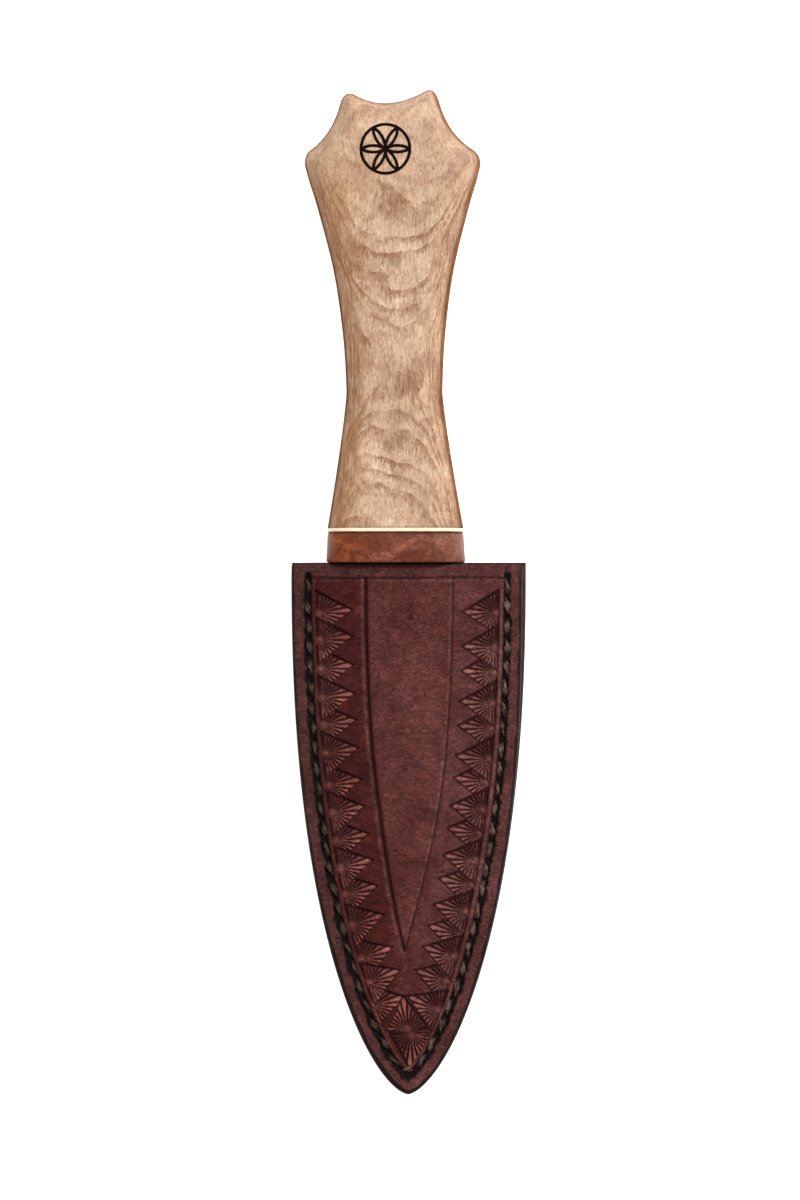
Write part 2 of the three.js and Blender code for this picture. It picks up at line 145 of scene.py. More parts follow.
# Thread: two plies twisted round each other.
PLY_RADIUS = 0.44
PLY_SIDES = 8
TWIST_RADIUS = 0.3
TWISTS_PER_STITCH = 0.42
STITCH_STEPS = 18
STITCH_SINK = 1.0
SEAM_LIFT = 0.6
SEAM_SLANT = 0.42
PAD_LIFT = 0.45
PAD_SLANT = 0.15
PAD_INSET = 0.6
PAD_STITCHES_ACROSS = 4
# How far the CAD's box stitches stand out of the strap's face.
PAD_PROUD = 0.8
# How strongly a highlight is painted on the stitches' tops on each side: the right row gets the stronger
# painted highlight.
LEFT_ROW_LIGHT = 0.16
RIGHT_ROW_LIGHT = 0.76

# Belt strap.
STRAP_THICKNESS = 2.5
STRAP_ROUND = 0.9
STRAP_CREASE_INSET = 1.7
STRAP_CREASE_DEPTH = 0.32
PAD_LENGTH = 11.0
SLOPE_LENGTH = 9.0
# How far the slopes' curves reach straight on at both ends, as a share of the slope.
SLOPE_REACH = 0.45

# Handle: how far in its faces are rounded, and the gap between the bolster and the sheath.
RIM_WIDTH = 8.0
RIM_POWER = 2.4
CROWN_WIDTH = 22.0
CROWN_FALL = 0.045
BOLSTER_GAP = 0.04
# Half-width of the grip and its height above the grip's front end.
SIDE_POINTS = [(17.0, 0), (14.4, 15.7), (12.35, 30.4), (12.1, 36.9), (12.9, 49.4), (15.0, 64.4),
               (18.7, 79.4), (21.1, 87.4), (22.0, 91.0)]
# The scalloped end in the same measures, from the left side over four rounded corners to the right side:
# a start, then for each quadratic stretch the point it bends towards and the point it ends at.
CROWN_START = (-22.0, 91.0)
CROWN_STRETCHES = [((-22.1, 93.3), (-20.9, 94.45)), ((-15.0, 98.4), (-12.95, 106.6)),
                   ((-11.9, 109.7), (-9.3, 108.6)), ((-1.8, 104.0), (8.0, 109.15)),
                   ((10.6, 111.0), (11.85, 106.6)), ((14.1, 98.4), (20.6, 94.45)),
                   ((22.1, 93.1), (22.0, 91.0))]
# Height above the mouth and half-thickness of the handle.
THICKNESS_POINTS = [(0, 10.5), (20, 10.3), (46, 9.7), (80, 10.8), (118, 12.0)]

# Blade and tang.
RICASSO_LENGTH = 5.0
GRIND_LENGTH = 4.0
BLADE_CHAMFER = (0.5, 0.4)
BLADE_TAPER = 0.9
RIDGE_HALF = 0.12
RIDGE_POWER = 0.4
EDGE_HALF_THICKNESS = 0.15
POINT_HALF_WIDTH = 0.25
TANG_WIDTHS = (8.0, 5.0)
TANG_THICKNESS = 3.6
TANG_EASE = 0.35
SHARP_ANGLE = 25

# The burned rosette, placed from the handle's middle line and the mouth.
MARK_RADIUS = 6.45
MARK_LINE = 0.76
MARK_X = -1.2
MARK_Y = 102.7
MARK_PROUD = 0.03
MARK_STEP = 0.002
MARK_DEEP = 0.3

# Growth rings of the ash, round a pith that lies in front of the grip and bends towards its ends.
RING_SPACING = 1.35
WAIST_Y = 52.0
PITH_HEIGHT = 105.0
PITH_SLOPE = 0.2
PITH_BEND = 7.0
PITH_DRIFT = 0.13

# Studio, in metres. The surround fades with height from a white horizon, which low views look at.
FLOOR_SIZE = 3.0
FLOOR_GLOW = 0.9
FLOOR_DROP = 0.2
HORIZON_STRENGTH = 1.0
HORIZON_HEIGHT = 0.08
WORLD_STRENGTH = 0.34
HAZE_TOP = 0.2
KEY_PLACE = (0.38, 0.33, 1.0)
KEY_SIZE = 0.26
KEY_POWER = 10.4
FILL_PLACE = (-0.9, -0.2, 0.9)
FILL_SIZE = 0.9
FILL_POWER = 0.7
# The camera looks almost straight down at the sheath's face, tipped a little to the right.
CAMERA_DISTANCE = 1.25
CAMERA_TILT = math.radians(3.0)
CAMERA_LENS = 150.0
SENSOR = 36.0
AIM = Vector((-2.1 * MM, -1.9 * MM, 15.0 * MM))


# ------------------------------------------------------------------ small helpers
def smooth_step(value, low, high):
    """0 up to the low value and 1 from the high one, with an eased rise between them."""
    share = np.clip((value - low) / (high - low), 0.0, 1.0)
    return share * share * (3.0 - 2.0 * share)


def ridge(offset, width):
    """A rounded line: 1 on its middle and almost 0 at twice its width."""
    return np.exp(-((offset / width) ** 2))


def wobble(x, y, scale, seed, waves=7):
    """A smooth, seeded, hand-made unevenness, mostly between -1 and 1."""
    rng = np.random.default_rng(SEED + seed)
    total = np.zeros_like(x, dtype=float)
    for _ in range(waves):
        angle, phase = rng.uniform(0, 2 * math.pi, 2)
        length = scale * rng.uniform(0.6, 1.8)
        total += np.sin((x * math.cos(angle) + y * math.sin(angle)) * 2 * math.pi / length + phase)
    return total / math.sqrt(waves)


def unit(vectors):
    """The same directions, each with a length of 1."""
    return vectors / np.maximum(np.linalg.norm(vectors, axis=-1, keepdims=True), TINY)


def lengths_along(points):
    """How far along a line each of its points lies."""
    steps = np.linalg.norm(np.diff(points, axis=0), axis=1)
    return np.concatenate([[0], np.cumsum(steps)])


def sample(target, places, points):
    """A line's points at the wanted places, read between its own points at their places."""
    return np.stack([np.interp(target, places, points[:, k]) for k in range(points.shape[1])], axis=-1)


def resample(points, count):
    """The same line with the given number of evenly spaced points."""
    along = lengths_along(points)
    return sample(np.linspace(0, along[-1], count), along, points)


def spline(points, count):
    """Evenly spaced points on a uniform Catmull-Rom curve through the given ones."""
    points = np.array(points, float)
    padded = np.vstack([points[0], points, points[-1]])
    t = np.linspace(0, 1, 40, endpoint=False)[:, None]
    fine = []
    for k in range(len(points) - 1):
        p0, p1, p2, p3 = padded[k:k + 4]
        slope_1 = (p2 - p0) / 2
        slope_2 = (p3 - p1) / 2
        cubic = 2 * p1 - 2 * p2 + slope_1 + slope_2
        square = -3 * p1 + 3 * p2 - 2 * slope_1 - slope_2
        fine.append(cubic * t**3 + square * t**2 + slope_1 * t + p1)
    return resample(np.vstack(fine + [points[-1:]]), count)


def spaced(start, end, step):
    """Values after start up to end, evenly spaced by about the step."""
    count = max(round((end - start) / step), 1)
    return list(np.linspace(start, end, count + 1)[1:])


def quads(index):
    """Faces between the neighbouring rows and columns of a grid of vertex numbers."""
    corners = [index[:-1, :-1], index[:-1, 1:], index[1:, 1:], index[1:, :-1]]
    return np.stack(corners, axis=-1).reshape(-1, 4).tolist()


def closed(index):
    """The grid with its first column repeated after its last."""
    return np.hstack([index, index[:, :1]])


def sweep_faces(rows, columns, first=0):
    """Faces of a body made of rings of vertices: quads between the rings and a cap on each end."""
    index = first + np.arange(rows * columns).reshape(rows, columns)
    return quads(closed(index)) + [index[0].tolist(), index[-1].tolist()]


def placed(name, data):
    """A new object in the scene."""
    thing = bpy.data.objects.new(name, data)
    bpy.context.scene.collection.objects.link(thing)
    return thing


def rework(mesh, change):
    """Applies a change to a mesh through a bmesh copy."""
    builder = bmesh.new()
    builder.from_mesh(mesh)
    change(builder)
    builder.to_mesh(mesh)
    builder.free()


def face_outwards(builder):
    """Turns every face's normal to the outside."""
    bmesh.ops.recalc_face_normals(builder, faces=builder.faces)


def drop_loose(builder):
    """Removes vertices that no face uses."""
    loose = [vertex for vertex in builder.verts if not vertex.link_faces]
    bmesh.ops.delete(builder, geom=loose, context="VERTS")


def mark_sharp(builder):
    """Keeps crisp every edge that turns by more than SHARP_ANGLE."""
    for edge in builder.edges:
        edge.smooth = not (edge.is_manifold and edge.calc_face_angle() > math.radians(SHARP_ANGLE))


def make_mesh(name, vertices, faces, smooth=True, **attributes):
    """A mesh object from millimetre vertices, its normals outwards, with per-vertex float attributes."""
    mesh = bpy.data.meshes.new(name)
    mesh.from_pydata((np.asarray(vertices, float) * MM).tolist(), [], [list(map(int, f)) for f in faces])
    rework(mesh, face_outwards)
    for key, values in attributes.items():
        layer = mesh.attributes.new(key, "FLOAT", "POINT")
        layer.data.foreach_set("value", np.asarray(values, np.float32))
    mesh.polygons.foreach_set("use_smooth", [smooth] * len(mesh.polygons))
    mesh.update()
    return placed(name, mesh)


def finish_piece(thing, material, body, slot, *nodes):
    """Gives a piece its material and body, and lets it stand for its CAD nodes."""
    thing.data.materials.append(material)
    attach(thing, body)
    if nodes:
        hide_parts(*nodes)


# ------------------------------------------------------------------ sheath outline
def half_width(drop):
    """Half the sheath's width at a distance below its mouth."""
    share = np.clip(drop / SHEATH_LENGTH, 0, 1)
    width = SHEATH_HALF * (1 - share ** (2 / DROP)) ** (TAPER / 2)
    in_corner = np.clip(CORNER_RADIUS - drop, 0, CORNER_RADIUS)
    corner = SHEATH_HALF - CORNER_RADIUS + np.sqrt(CORNER_RADIUS**2 - in_corner**2)
    return np.minimum(width, corner)


def edge_line(count):
    """The sheath's right edge from the mouth to the tip, and its inward normals."""
    t = np.linspace(1e-4, math.pi / 2 - 1e-4, 6000)
    fine = np.stack([SHEATH_HALF * np.cos(t) ** TAPER, -SHEATH_LENGTH * np.sin(t) ** DROP], axis=1)
    points = resample(fine, count)
    along = unit(np.gradient(points, axis=0))
    return points, np.stack([along[:, 1], -along[:, 0]], axis=1)


EDGE_POINTS, EDGE_INWARD = edge_line(900)
EDGE_LENGTHS = lengths_along(EDGE_POINTS)


def edge_frame(length):
    """The right edge's point and inward normal at a length along it."""
    return [sample(length, EDGE_LENGTHS, part) for part in (EDGE_POINTS, EDGE_INWARD)]


def edge_distance(x, drop):
    """Distance of each point from the side edges of the sheath, positive inside."""
    flat_x, flat_y = np.abs(x).ravel(), -drop.ravel()
    distance = np.empty_like(flat_x)
    for start in range(0, len(flat_x), CHUNK):
        part = slice(start, start + CHUNK)
        dx = flat_x[part, None] - EDGE_POINTS[None, :, 0]
        dy = flat_y[part, None] - EDGE_POINTS[None, :, 1]
        nearest = np.argmin(dx * dx + dy * dy, axis=1)
        rows = np.arange(len(nearest))
        distance[part] = (dx[rows, nearest] * EDGE_INWARD[nearest, 0]
                          + dy[rows, nearest] * EDGE_INWARD[nearest, 1])
    return distance.reshape(x.shape)


def seam_holes():
    """Stitch holes from the right mouth round the tip to the left, as x and distance below the mouth."""
    line = EDGE_POINTS + EDGE_INWARD * SEAM_INSET
    line = line[(line[:, 0] > 0) & (line[:, 1] <= -SEAM_START)]
    line = np.vstack([[line[0, 0], -SEAM_START], line]) * [1, -1]
    along = lengths_along(line)
    per_side = round(along[-1] / STITCH_PITCH - 0.5)
    right = sample(np.arange(per_side + 1) * along[-1] / (per_side + 0.5), along, line)
    return np.vstack([right, right[::-1] * [-1, 1]])


HOLES = seam_holes()


def in_seam(drop):
    """1 where the seam's groove runs and 0 above its first hole."""
    return smooth_step(drop, SEAM_START - 1.3, SEAM_START - 0.3)


# ------------------------------------------------------------------ tooled relief of the front
def groove(distance, width, depth):
    """How far a smooth groove lowers the leather at a distance from its middle."""
    share = np.clip(np.abs(distance) / (width / 2), 0, 1)
    return -depth * (1 - share * share) ** 2


def round_over(distance, radius):
    """How far a rounded edge falls away at a distance in from the edge."""
    inside = np.clip(radius - distance, 0, radius)
    return -(radius - np.sqrt(radius * radius - inside * inside))


def side_fans(side, drops, inset, tilt):
    """The fans of one row: the middle of each one's base, and the way it points."""
    points = EDGE_POINTS + EDGE_INWARD * (inset + STAMP_REACH)
    fans = []
    for drop in drops:
        point, inward = edge_frame(np.interp(drop, -points[:, 1], EDGE_LENGTHS))
        tip = (point + inward * (inset + STAMP_REACH)) * [side, 1]
        turn = math.atan2(inward[1], inward[0] * side) + math.radians(tilt)
        fans.append((tip - STAMP_REACH * np.array([math.cos(turn), math.sin(turn)]), turn))
    return fans


def stamp_list():
    """Every fan in the order they were struck: every second one of a row lies over its neighbours."""
    left = side_fans(-1, LEFT_FANS, LEFT_INSET, LEFT_TILT)
    right = side_fans(1, RIGHT_FANS, RIGHT_INSET, 0)
    tip = [(np.array([base_x, -base_drop]), math.radians(turn)) for base_x, base_drop, turn in TIP_FANS]
    return left[::2] + right[::2] + tip[:2] + left[1::2] + right[1::2] + tip[2:]


def fan(reach, across, points_right):
    """One fan's relief at places measured from its base, with the masks of a single stamp."""
    slope = STAMP_BASE / 2 / STAMP_REACH
    leg = (STAMP_BASE / 2 - slope * reach - np.abs(across)) / math.hypot(1, slope)
    inside = np.minimum(reach, leg)
    hub_reach = reach - STAMP_HUB
    radius = np.hypot(hub_reach, across)
    angle = np.arctan2(across, hub_reach)
    upper = smooth_step(angle if points_right else -angle, -0.2, 0.5)
    ray = (angle / math.pi + 0.5) * STAMP_RAYS
    off_middle = np.abs(ray - np.floor(ray) - 0.5) * 2
    cut_share = np.clip(STAMP_CUT_WIDTH / np.maximum(radius * math.pi / STAMP_RAYS, 0.01), 0.36, 0.64)
    border = 0.4 + 0.3 * upper
    bar = 1 - smooth_step(off_middle, 0.86 - cut_share, 1.1 - cut_share)
    bar *= smooth_step(radius, 0.6, 1.7) * smooth_step(inside, border, border + 0.25)
    hub = ridge(radius, STAMP_HUB)
    return inside, border, upper, hub, np.maximum(bar, 0.55 * hub)


def stamped_relief(x, drop):
    """Depth of the fan stamps, how stamped each point is, how dark its hollows are painted, and the painted
    shade on each fan's upper half.
    """
    height, stamped, hollow_dye_and_shade, upper_shade = (np.zeros_like(x) for _ in range(4))
    for base, turn in stamp_list():
        near = np.hypot(x - base[0], -drop - base[1]) < STAMP_REACH + 1.5
        away_x, away_y = x[near] - base[0], -drop[near] - base[1]
        reach = away_x * math.cos(turn) + away_y * math.sin(turn)
        across = away_y * math.cos(turn) - away_x * math.sin(turn)
        inside, border, upper, hub, relief = fan(reach, across, math.cos(turn) > 0)
        floor = -STAMP_DEPTH * (1 + 0.15 * upper) + STAMP_RAISED * relief
        cover = smooth_step(inside, 0.0, STAMP_EDGE)
        kept = OLDER_STAMP_SHARE * stamped[near] * smooth_step(inside, border, border + 0.3)
        fresh = cover * (1 - kept)
        height[near] = height[near] * (1 - fresh) + floor * fresh
        height[near] += 0.12 * ridge(np.clip(-inside, 0, None), 0.5) * (1 - cover) * (1 - stamped[near])
        # The hollows between the bars are darkened: pooled dye and painted shade.
        hollow_dye_and_shade[near] = hollow_dye_and_shade[near] * (1 - fresh) + (1 - relief) * fresh
        # Painted shade over the fan's upper half, where the upper wall's shadow falls.
        upper_shade[near] = upper_shade[near] * (1 - cover) + upper * (1 - hub) * cover
        stamped[near] = np.maximum(stamped[near], cover)
    return height, stamped, hollow_dye_and_shade, upper_shade


def v_lines(x, drop, width):
    """The V's cut and the raised strip beside it, which also carries a painted highlight, and each point's
    distance outside the V.
    """
    middle = 0.35 - 1.05 * smooth_step(drop, 55, V_LINE_END)
    half_gap = width - V_LINE_INSET - 1.1 * smooth_step(drop, 40, V_LINE_END)
    outside = np.abs(x - middle) - half_gap
    shown = smooth_step(drop, TOP_LINE_DROP - 0.3, TOP_LINE_DROP + 0.3)
    shown *= 1 - smooth_step(drop, V_LINE_END - 0.2, V_LINE_END + 0.5)
    on_left = 1 - smooth_step(x, middle - 0.2, middle + 0.2)
    cut_width, cut_depth = [right + (left - right) * on_left for right, left in zip(V_RIGHT_CUT, V_LEFT_CUT)]
    cut = groove(outside, cut_width, cut_depth) * shown
    strip_middle = 0.95 * on_left - 0.6 * (1 - on_left)
    return cut, ridge(outside - strip_middle, 0.25 + 0.15 * on_left) * shown, outside


def top_line(x, drop, width):
    """The line across the top with its turned-down right end, and the strip under it where a highlight is
    painted.
    """
    shown = 1 - smooth_step(np.abs(x), width - SEAM_INSET + 0.6, width - SEAM_INSET + 1.0)
    wander = 0.12 * wobble(x, drop, 30, 5)
    cut = groove(drop - TOP_LINE_DROP - wander, *TOP_LINE_CUT) * shown
    turned = smooth_step(drop, TOP_LINE_DROP, TOP_LINE_DROP + 0.6)
    turned *= 1 - smooth_step(drop, TURN_END, TURN_END + 0.8)
    cut += groove(x - (SHEATH_HALF - TURN_INSET), *TURN_CUT) * turned
    return cut, ridge(drop - TOP_LINE_DROP - 0.75, 0.3) * shown


def stitch_pits(x, drop):
    """How deep each point lies in the dimples where the thread dives into its holes."""
    pits = np.zeros_like(x)
    for hole_x, hole_drop in HOLES:
        pits += ridge(np.hypot(x - hole_x, drop - hole_drop), 0.45)
    return np.clip(pits, 0, 1)


def front_relief(x, drop):
    """Height of the front leather above its plain face, with the masks that its material reads."""
    side = edge_distance(x, drop)
    width = half_width(drop)
    height, stamped, hollow_dye_and_shade, upper_shade = stamped_relief(x, drop)
    in_stamps = smooth_step(side, LEFT_INSET - 0.25, LEFT_INSET + 0.05)
    ragged = 0.14 * wobble(x, drop, 2.6, 21) + 0.1 * wobble(x, drop, 6, 22)
    groove_width = FRONT_GROOVE_WIDTH + 2 * ragged
    seam = groove(side - SEAM_INSET + 0.3 + ragged, groove_width, GROOVE_DEPTH) * in_seam(drop)
    inner_lip, outer_lip = [ridge(side - inset, lip_width) * in_seam(drop)
                            for inset, lip_width, _ in (INNER_LIP, OUTER_LIP)]
    v_cut, v_strip, outside_v = v_lines(x, drop, width)
    top_cut, under_top = top_line(x, drop, width)
    cuts = v_cut + top_cut - 0.35 * stitch_pits(x, drop)
    room = width - DOME_INSET
    dome = DOME_HEIGHT * np.clip(1 - (x / np.maximum(room, 1e-3)) ** 2, 0, 1) * smooth_step(room, 1.0, 14.0)
    rounding = np.minimum(round_over(side, 0.9), round_over(drop, 0.7))
    uneven = 0.04 * wobble(x, drop, 3.5, 10) + 0.05 * wobble(x, drop, 9, 11) + 0.07 * wobble(x, drop, 24, 12)
    height = height * in_stamps + seam + cuts + dome + rounding + uneven * smooth_step(side, 0, 2)
    height += V_STRIP_HEIGHT * v_strip + INNER_LIP[2] * inner_lip + OUTER_LIP[2] * outer_lip
    wide_rim = 0.5 * smooth_step(drop, 70, 125) * (1 - smooth_step(x, -6, 8)) + 0.12 * wobble(x, drop, 9, 23)
    return height, {
        "stamped": stamped * in_stamps,
        "hollow_dye_and_shade": hollow_dye_and_shade * in_stamps,
        "upper_shade": upper_shade * in_stamps,
        # Painted highlight on the raised strips and the lip beside the seam.
        "lit": np.clip(0.6 * v_strip + 0.4 * under_top + 0.35 * inner_lip, 0, 1),
        # The bottoms of the cuts are darkened: dark dye and painted shade.
        "cut": np.clip((-cuts - 0.28) / 0.16, 0, 1),
        # Painted shade: the seam's groove is darkened nearly to black under the thread.
        "seam_groove_shade": np.clip(-2.6 * seam / GROOVE_DEPTH, 0, 1),
        "rim": 1 - smooth_step(np.minimum(side - wide_rim, drop + 0.4), 0.6, 0.95),
        "heart": smooth_step(-outside_v, 0.0, 1.5) * smooth_step(drop, TOP_LINE_DROP, TOP_LINE_DROP + 1),
        "border": 1 - smooth_step(np.minimum(side - SEAM_INSET, drop - TOP_LINE_DROP), -0.2, 0.2),
    }


# ------------------------------------------------------------------ leather sheets of the sheath
def sheet_grid(side_steps, middle_step, drop_step):
    """A grid over the sheath's outline: columns at set distances from both edges, rows down to the tip."""
    tip_start = SHEATH_LENGTH - 7
    tip_t = math.asin((tip_start / SHEATH_LENGTH) ** (1 / DROP))
    tip_t = np.linspace(tip_t, math.pi / 2 - 2e-3, 26)[1:]
    drops = np.concatenate([ROUNDED_STEPS, spaced(ROUNDED_STEPS[-1], tip_start, drop_step),
                            SHEATH_LENGTH * np.sin(tip_t) ** DROP])
    width = half_width(drops)[:, None]
    reach = side_steps[-1]
    steps = np.array(side_steps)[None, :] * np.minimum(1, width / (reach + 1))
    middle_count = max(round(2 * (SHEATH_HALF - reach) / middle_step), 2)
    middle = np.linspace(-1, 1, middle_count + 1)[None, 1:-1] * (width - steps[:, -1:])
    x = np.hstack([steps - width, middle, (width - steps)[:, ::-1]])
    return x, np.repeat(drops[:, None], x.shape[1], axis=1)


def leather_sheet(name, x, drop, outer_z, inner_z, masks):
    """A closed sheet of leather between a worked outer face and a flat inner one."""
    rows, columns = x.shape
    index = np.arange(rows * columns).reshape(rows, columns)
    ring = np.concatenate([index[0], index[1:, -1], index[-1, -2::-1], index[-2:0:-1, 0]])
    top = np.stack([x.ravel(), (MOUTH_Y - drop).ravel(), outer_z.ravel()], axis=1)
    wall, cap = top[ring], top[ring]
    along = unit(np.roll(wall[:, :2], -1, axis=0) - np.roll(wall[:, :2], 1, axis=0))
    wall[:, 2] = inner_z + math.copysign(SHEET_BEVEL, outer_z.mean() - inner_z)
    cap[:, :2] += np.stack([along[:, 1], -along[:, 0]], axis=1) * SHEET_BEVEL
    cap[:, 2] = inner_z
    size = len(ring)
    first_cap = len(top) + size
    rings = np.stack([ring, len(top) + np.arange(size), first_cap + np.arange(size)])
    row = np.arange(1, rows - 2)
    right, left = columns - 1 + row, size - row
    inner = [*np.stack([left, right, right + 1, left - 1], axis=1),
             np.append(np.arange(columns + 1), size - 1),
             np.arange(columns + rows - 3, size - rows + 3)]
    faces = quads(index) + quads(closed(rings)) + [first_cap + face for face in inner]
    # The wall and the inner face are burnished like the rim, and nothing else.
    padded = {key: np.append(values, np.full(2 * size, float(key == "rim"))) for key, values in masks.items()}
    return make_mesh(name, np.vstack([top, wall, cap]), faces, **padded)


def front_leather():
    """The tooled panel."""
    side_steps = ROUNDED_STEPS + spaced(1.1, 3.2, 0.4) + spaced(3.2, 5.6, 0.17) + spaced(5.6, 20.0, 0.18)
    x, drop = sheet_grid(side_steps, 0.7, 0.22)
    height, masks = front_relief(x, drop)
    near_mouth = 1 - smooth_step(drop, 4, 75)
    x = x - RIGHT_EDGE_SHORT * smooth_step(x, SHEATH_HALF - 8, SHEATH_HALF) * near_mouth
    return leather_sheet("front_leather", x, drop, FACE_Z + height, FRONT_INNER_Z, masks)


def back_leather():
    """The plain panel, with the seam's groove on its outer face."""
    side_steps = ROUNDED_STEPS + spaced(1.1, 3.2, 0.7) + spaced(3.2, 5.6, 0.3) + [7.0]
    x, drop = sheet_grid(side_steps, 2.0, 0.6)
    side = edge_distance(x, drop)
    seam = groove(side - SEAM_INSET, BACK_GROOVE_WIDTH, GROOVE_DEPTH) * in_seam(drop)
    height = seam + np.minimum(round_over(side, 1.1), round_over(drop, 0.8)) + 0.05 * wobble(x, drop, 20, 31)
    masks = {
        "seam_groove_shade": np.clip(-seam / GROOVE_DEPTH, 0, 1),
        "rim": 1 - smooth_step(np.minimum(side, drop), 0.1, 1.2),
    }
    return leather_sheet("back_leather", x, drop, BACK_FACE_Z - height, BACK_INNER_Z, masks)


def welt(name, side):
    """A strip of leather between the panels, following the edge of one side from mouth to tip."""
    low, high = BACK_INNER_Z, FRONT_INNER_Z
    section = [(SHEET_BEVEL, low), (0, low + SHEET_BEVEL), (-WELT_BULGE, (low + high) / 2),
               (0, high - SHEET_BEVEL), (SHEET_BEVEL, high), (WELT_WIDTH, high), (WELT_WIDTH, low)]
    lengths = [CORNER_RADIUS] + spaced(CORNER_RADIUS, EDGE_LENGTHS[-1], 0.8)
    vertices = []
    for k, length in enumerate(lengths):
        point, inward = edge_frame(length)
        for depth, z in section:
            place = point + inward * depth
            y = MOUTH_Y + (place[1] if k else 0.0)
            vertices.append([side * max(place[0], 0.0), y, z])
    return make_mesh(name, vertices, sweep_faces(len(lengths), len(section)))


# ------------------------------------------------------------------ thread
def tube(path, radii, sides):
    """Vertices and faces of a capped tube along a path, with a radius at each of its points."""
    along = unit(np.gradient(path, axis=0))
    normal = np.cross(along[0], [0.3, 0.5, 0.8])
    turns = np.linspace(0, 2 * math.pi, sides, endpoint=False)[:, None]
    vertices = []
    for point, direction, radius in zip(path, along, radii):
        normal = unit(normal - direction * np.dot(normal, direction))
        other = np.cross(direction, normal)
        vertices += list(point + radius * (np.cos(turns) * normal + np.sin(turns) * other))
    return vertices, sweep_faces(len(path), sides)


def stitch_path(start, end, face_z, out, lift, slant):
    """The middle of one stitch: out of one hole, over the leather and down the next."""
    start, end = np.array(start), np.array(end)
    run = end - start
    side = unit(np.array([-run[1], run[0]]))
    share = np.linspace(0, 1, STITCH_STEPS)
    rise = np.sin(math.pi * share) ** 0.75
    bow = slant * (share - 0.5) * 2
    reach = 0.03 + share * 0.94
    flat = start + run * reach[:, None] + side * bow[:, None]
    return np.column_stack([flat, face_z + out * (-STITCH_SINK + (STITCH_SINK + lift) * rise)])


def twisted_stitch(path, seed):
    """Two plies twisted round each other along a path, swollen and lumpy like hand-waxed thread."""
    rng = np.random.default_rng(SEED + seed)
    count = len(path)
    phase = rng.uniform(0, 2 * math.pi)
    twist = TWISTS_PER_STITCH * rng.uniform(0.4, 1.9)
    path = path + rng.normal(0, 0.1, 3) + np.outer(np.linspace(-1, 1, count), rng.normal(0, 0.14, 3))
    along = unit(np.gradient(path, axis=0))
    side = unit(np.cross(along, [0.0, 0.0, 1.0]))
    over = np.cross(side, along)
    angle = phase + np.linspace(0, twist * 2 * math.pi, count)
    swell = np.sin(np.linspace(0, math.pi, count) ** rng.uniform(0.85, 1.1))
    lumps = 1 + 0.16 * np.sin(np.linspace(0, rng.uniform(6, 14), count) + phase)
    radii = PLY_RADIUS * rng.uniform(0.8, 1.12) * (0.35 + 0.65 * np.abs(swell)) * lumps
    plies = []
    for turn in (angle, angle + math.pi):
        offset = np.cos(turn)[:, None] * side + np.sin(turn)[:, None] * over
        plies.append(tube(path + TWIST_RADIUS * offset, radii, PLY_SIDES))
    return plies


def thread_piece(name, stitches):
    """One mesh for a row of stitches, each given as its path's arguments. The right row gets a stronger
    painted highlight on its stitches' tops.
    """
    vertices, faces, worn = [], [], []
    top = np.repeat(np.sin(np.linspace(0, math.pi, STITCH_STEPS)) ** 2, PLY_SIDES)
    for k, arguments in enumerate(stitches):
        row_light = RIGHT_ROW_LIGHT if arguments[0][0] > 0 else LEFT_ROW_LIGHT
        for ply_vertices, ply_faces in twisted_stitch(stitch_path(*arguments), 100 + k):
            first = len(vertices)
            vertices += ply_vertices
            faces += [[first + v for v in face] for face in ply_faces]
            worn += list(top * row_light)
    return make_mesh(name, vertices, faces, worn=worn)


def seam_stitches():
    """Both faces of the saddle stitch round the sheath."""
    holes = HOLES * [1, -1] + [0, MOUTH_Y]
    stitches = []
    for start, end in zip(holes[:-1], holes[1:]):
        swell = DOME_HEIGHT * max(1 - (start[0] / (SHEATH_HALF - DOME_INSET)) ** 2, 0)
        front_z = FACE_Z - GROOVE_DEPTH + min(swell, 0.1)
        stitches.append((start, end, front_z, 1, SEAM_LIFT, SEAM_SLANT))
        stitches.append((start, end, BACK_FACE_Z + GROOVE_DEPTH, -1, SEAM_LIFT, -SEAM_SLANT))
    return thread_piece("seam_stitches", stitches)


def pad_stitches(name, node):
    """The box stitch through one end of the belt strap."""
    low, high = box_mm(node)
    across = np.linspace(low[0] + PAD_INSET, high[0] - PAD_INSET, PAD_STITCHES_ACROSS + 1)
    corners = [(x, high[1] - PAD_INSET) for x in across] + [(x, low[1] + PAD_INSET) for x in across[::-1]]
    surface = low[2] + PAD_PROUD
    stitches = [(start, end, surface, -1, PAD_LIFT, PAD_SLANT)
                for start, end in zip(corners, corners[1:] + corners[:1])]
    return thread_piece(name, stitches)


# ------------------------------------------------------------------ belt strap
def strap_path(count):
    """The strap's middle line seen from the side, as y and z: two sewn ends and a flat middle."""
    half = STRAP_THICKNESS / 2
    pad_z, flat_z = STRAP_HIGH[2] - half, STRAP_LOW[2] + half
    top, bottom = STRAP_HIGH[1], STRAP_LOW[1]
    bends = [(top - PAD_LENGTH, pad_z, top - PAD_LENGTH - SLOPE_LENGTH, flat_z),
             (bottom + PAD_LENGTH + SLOPE_LENGTH, flat_z, bottom + PAD_LENGTH, pad_z)]
    t = np.linspace(0, 1, 24)
    weights = np.stack([(1 - t) ** 3, 3 * t * (1 - t) ** 2, 3 * t * t * (1 - t), t**3], axis=1)
    reach = SLOPE_LENGTH * SLOPE_REACH
    points = [[(top, pad_z)]]
    for start_y, start_z, end_y, end_z in bends:
        handles = [[start_y, start_z], [start_y - reach, start_z], [end_y + reach, end_z], [end_y, end_z]]
        points.append(weights @ handles)
    points.append([(bottom, pad_z)])
    return resample(np.vstack(points), count)


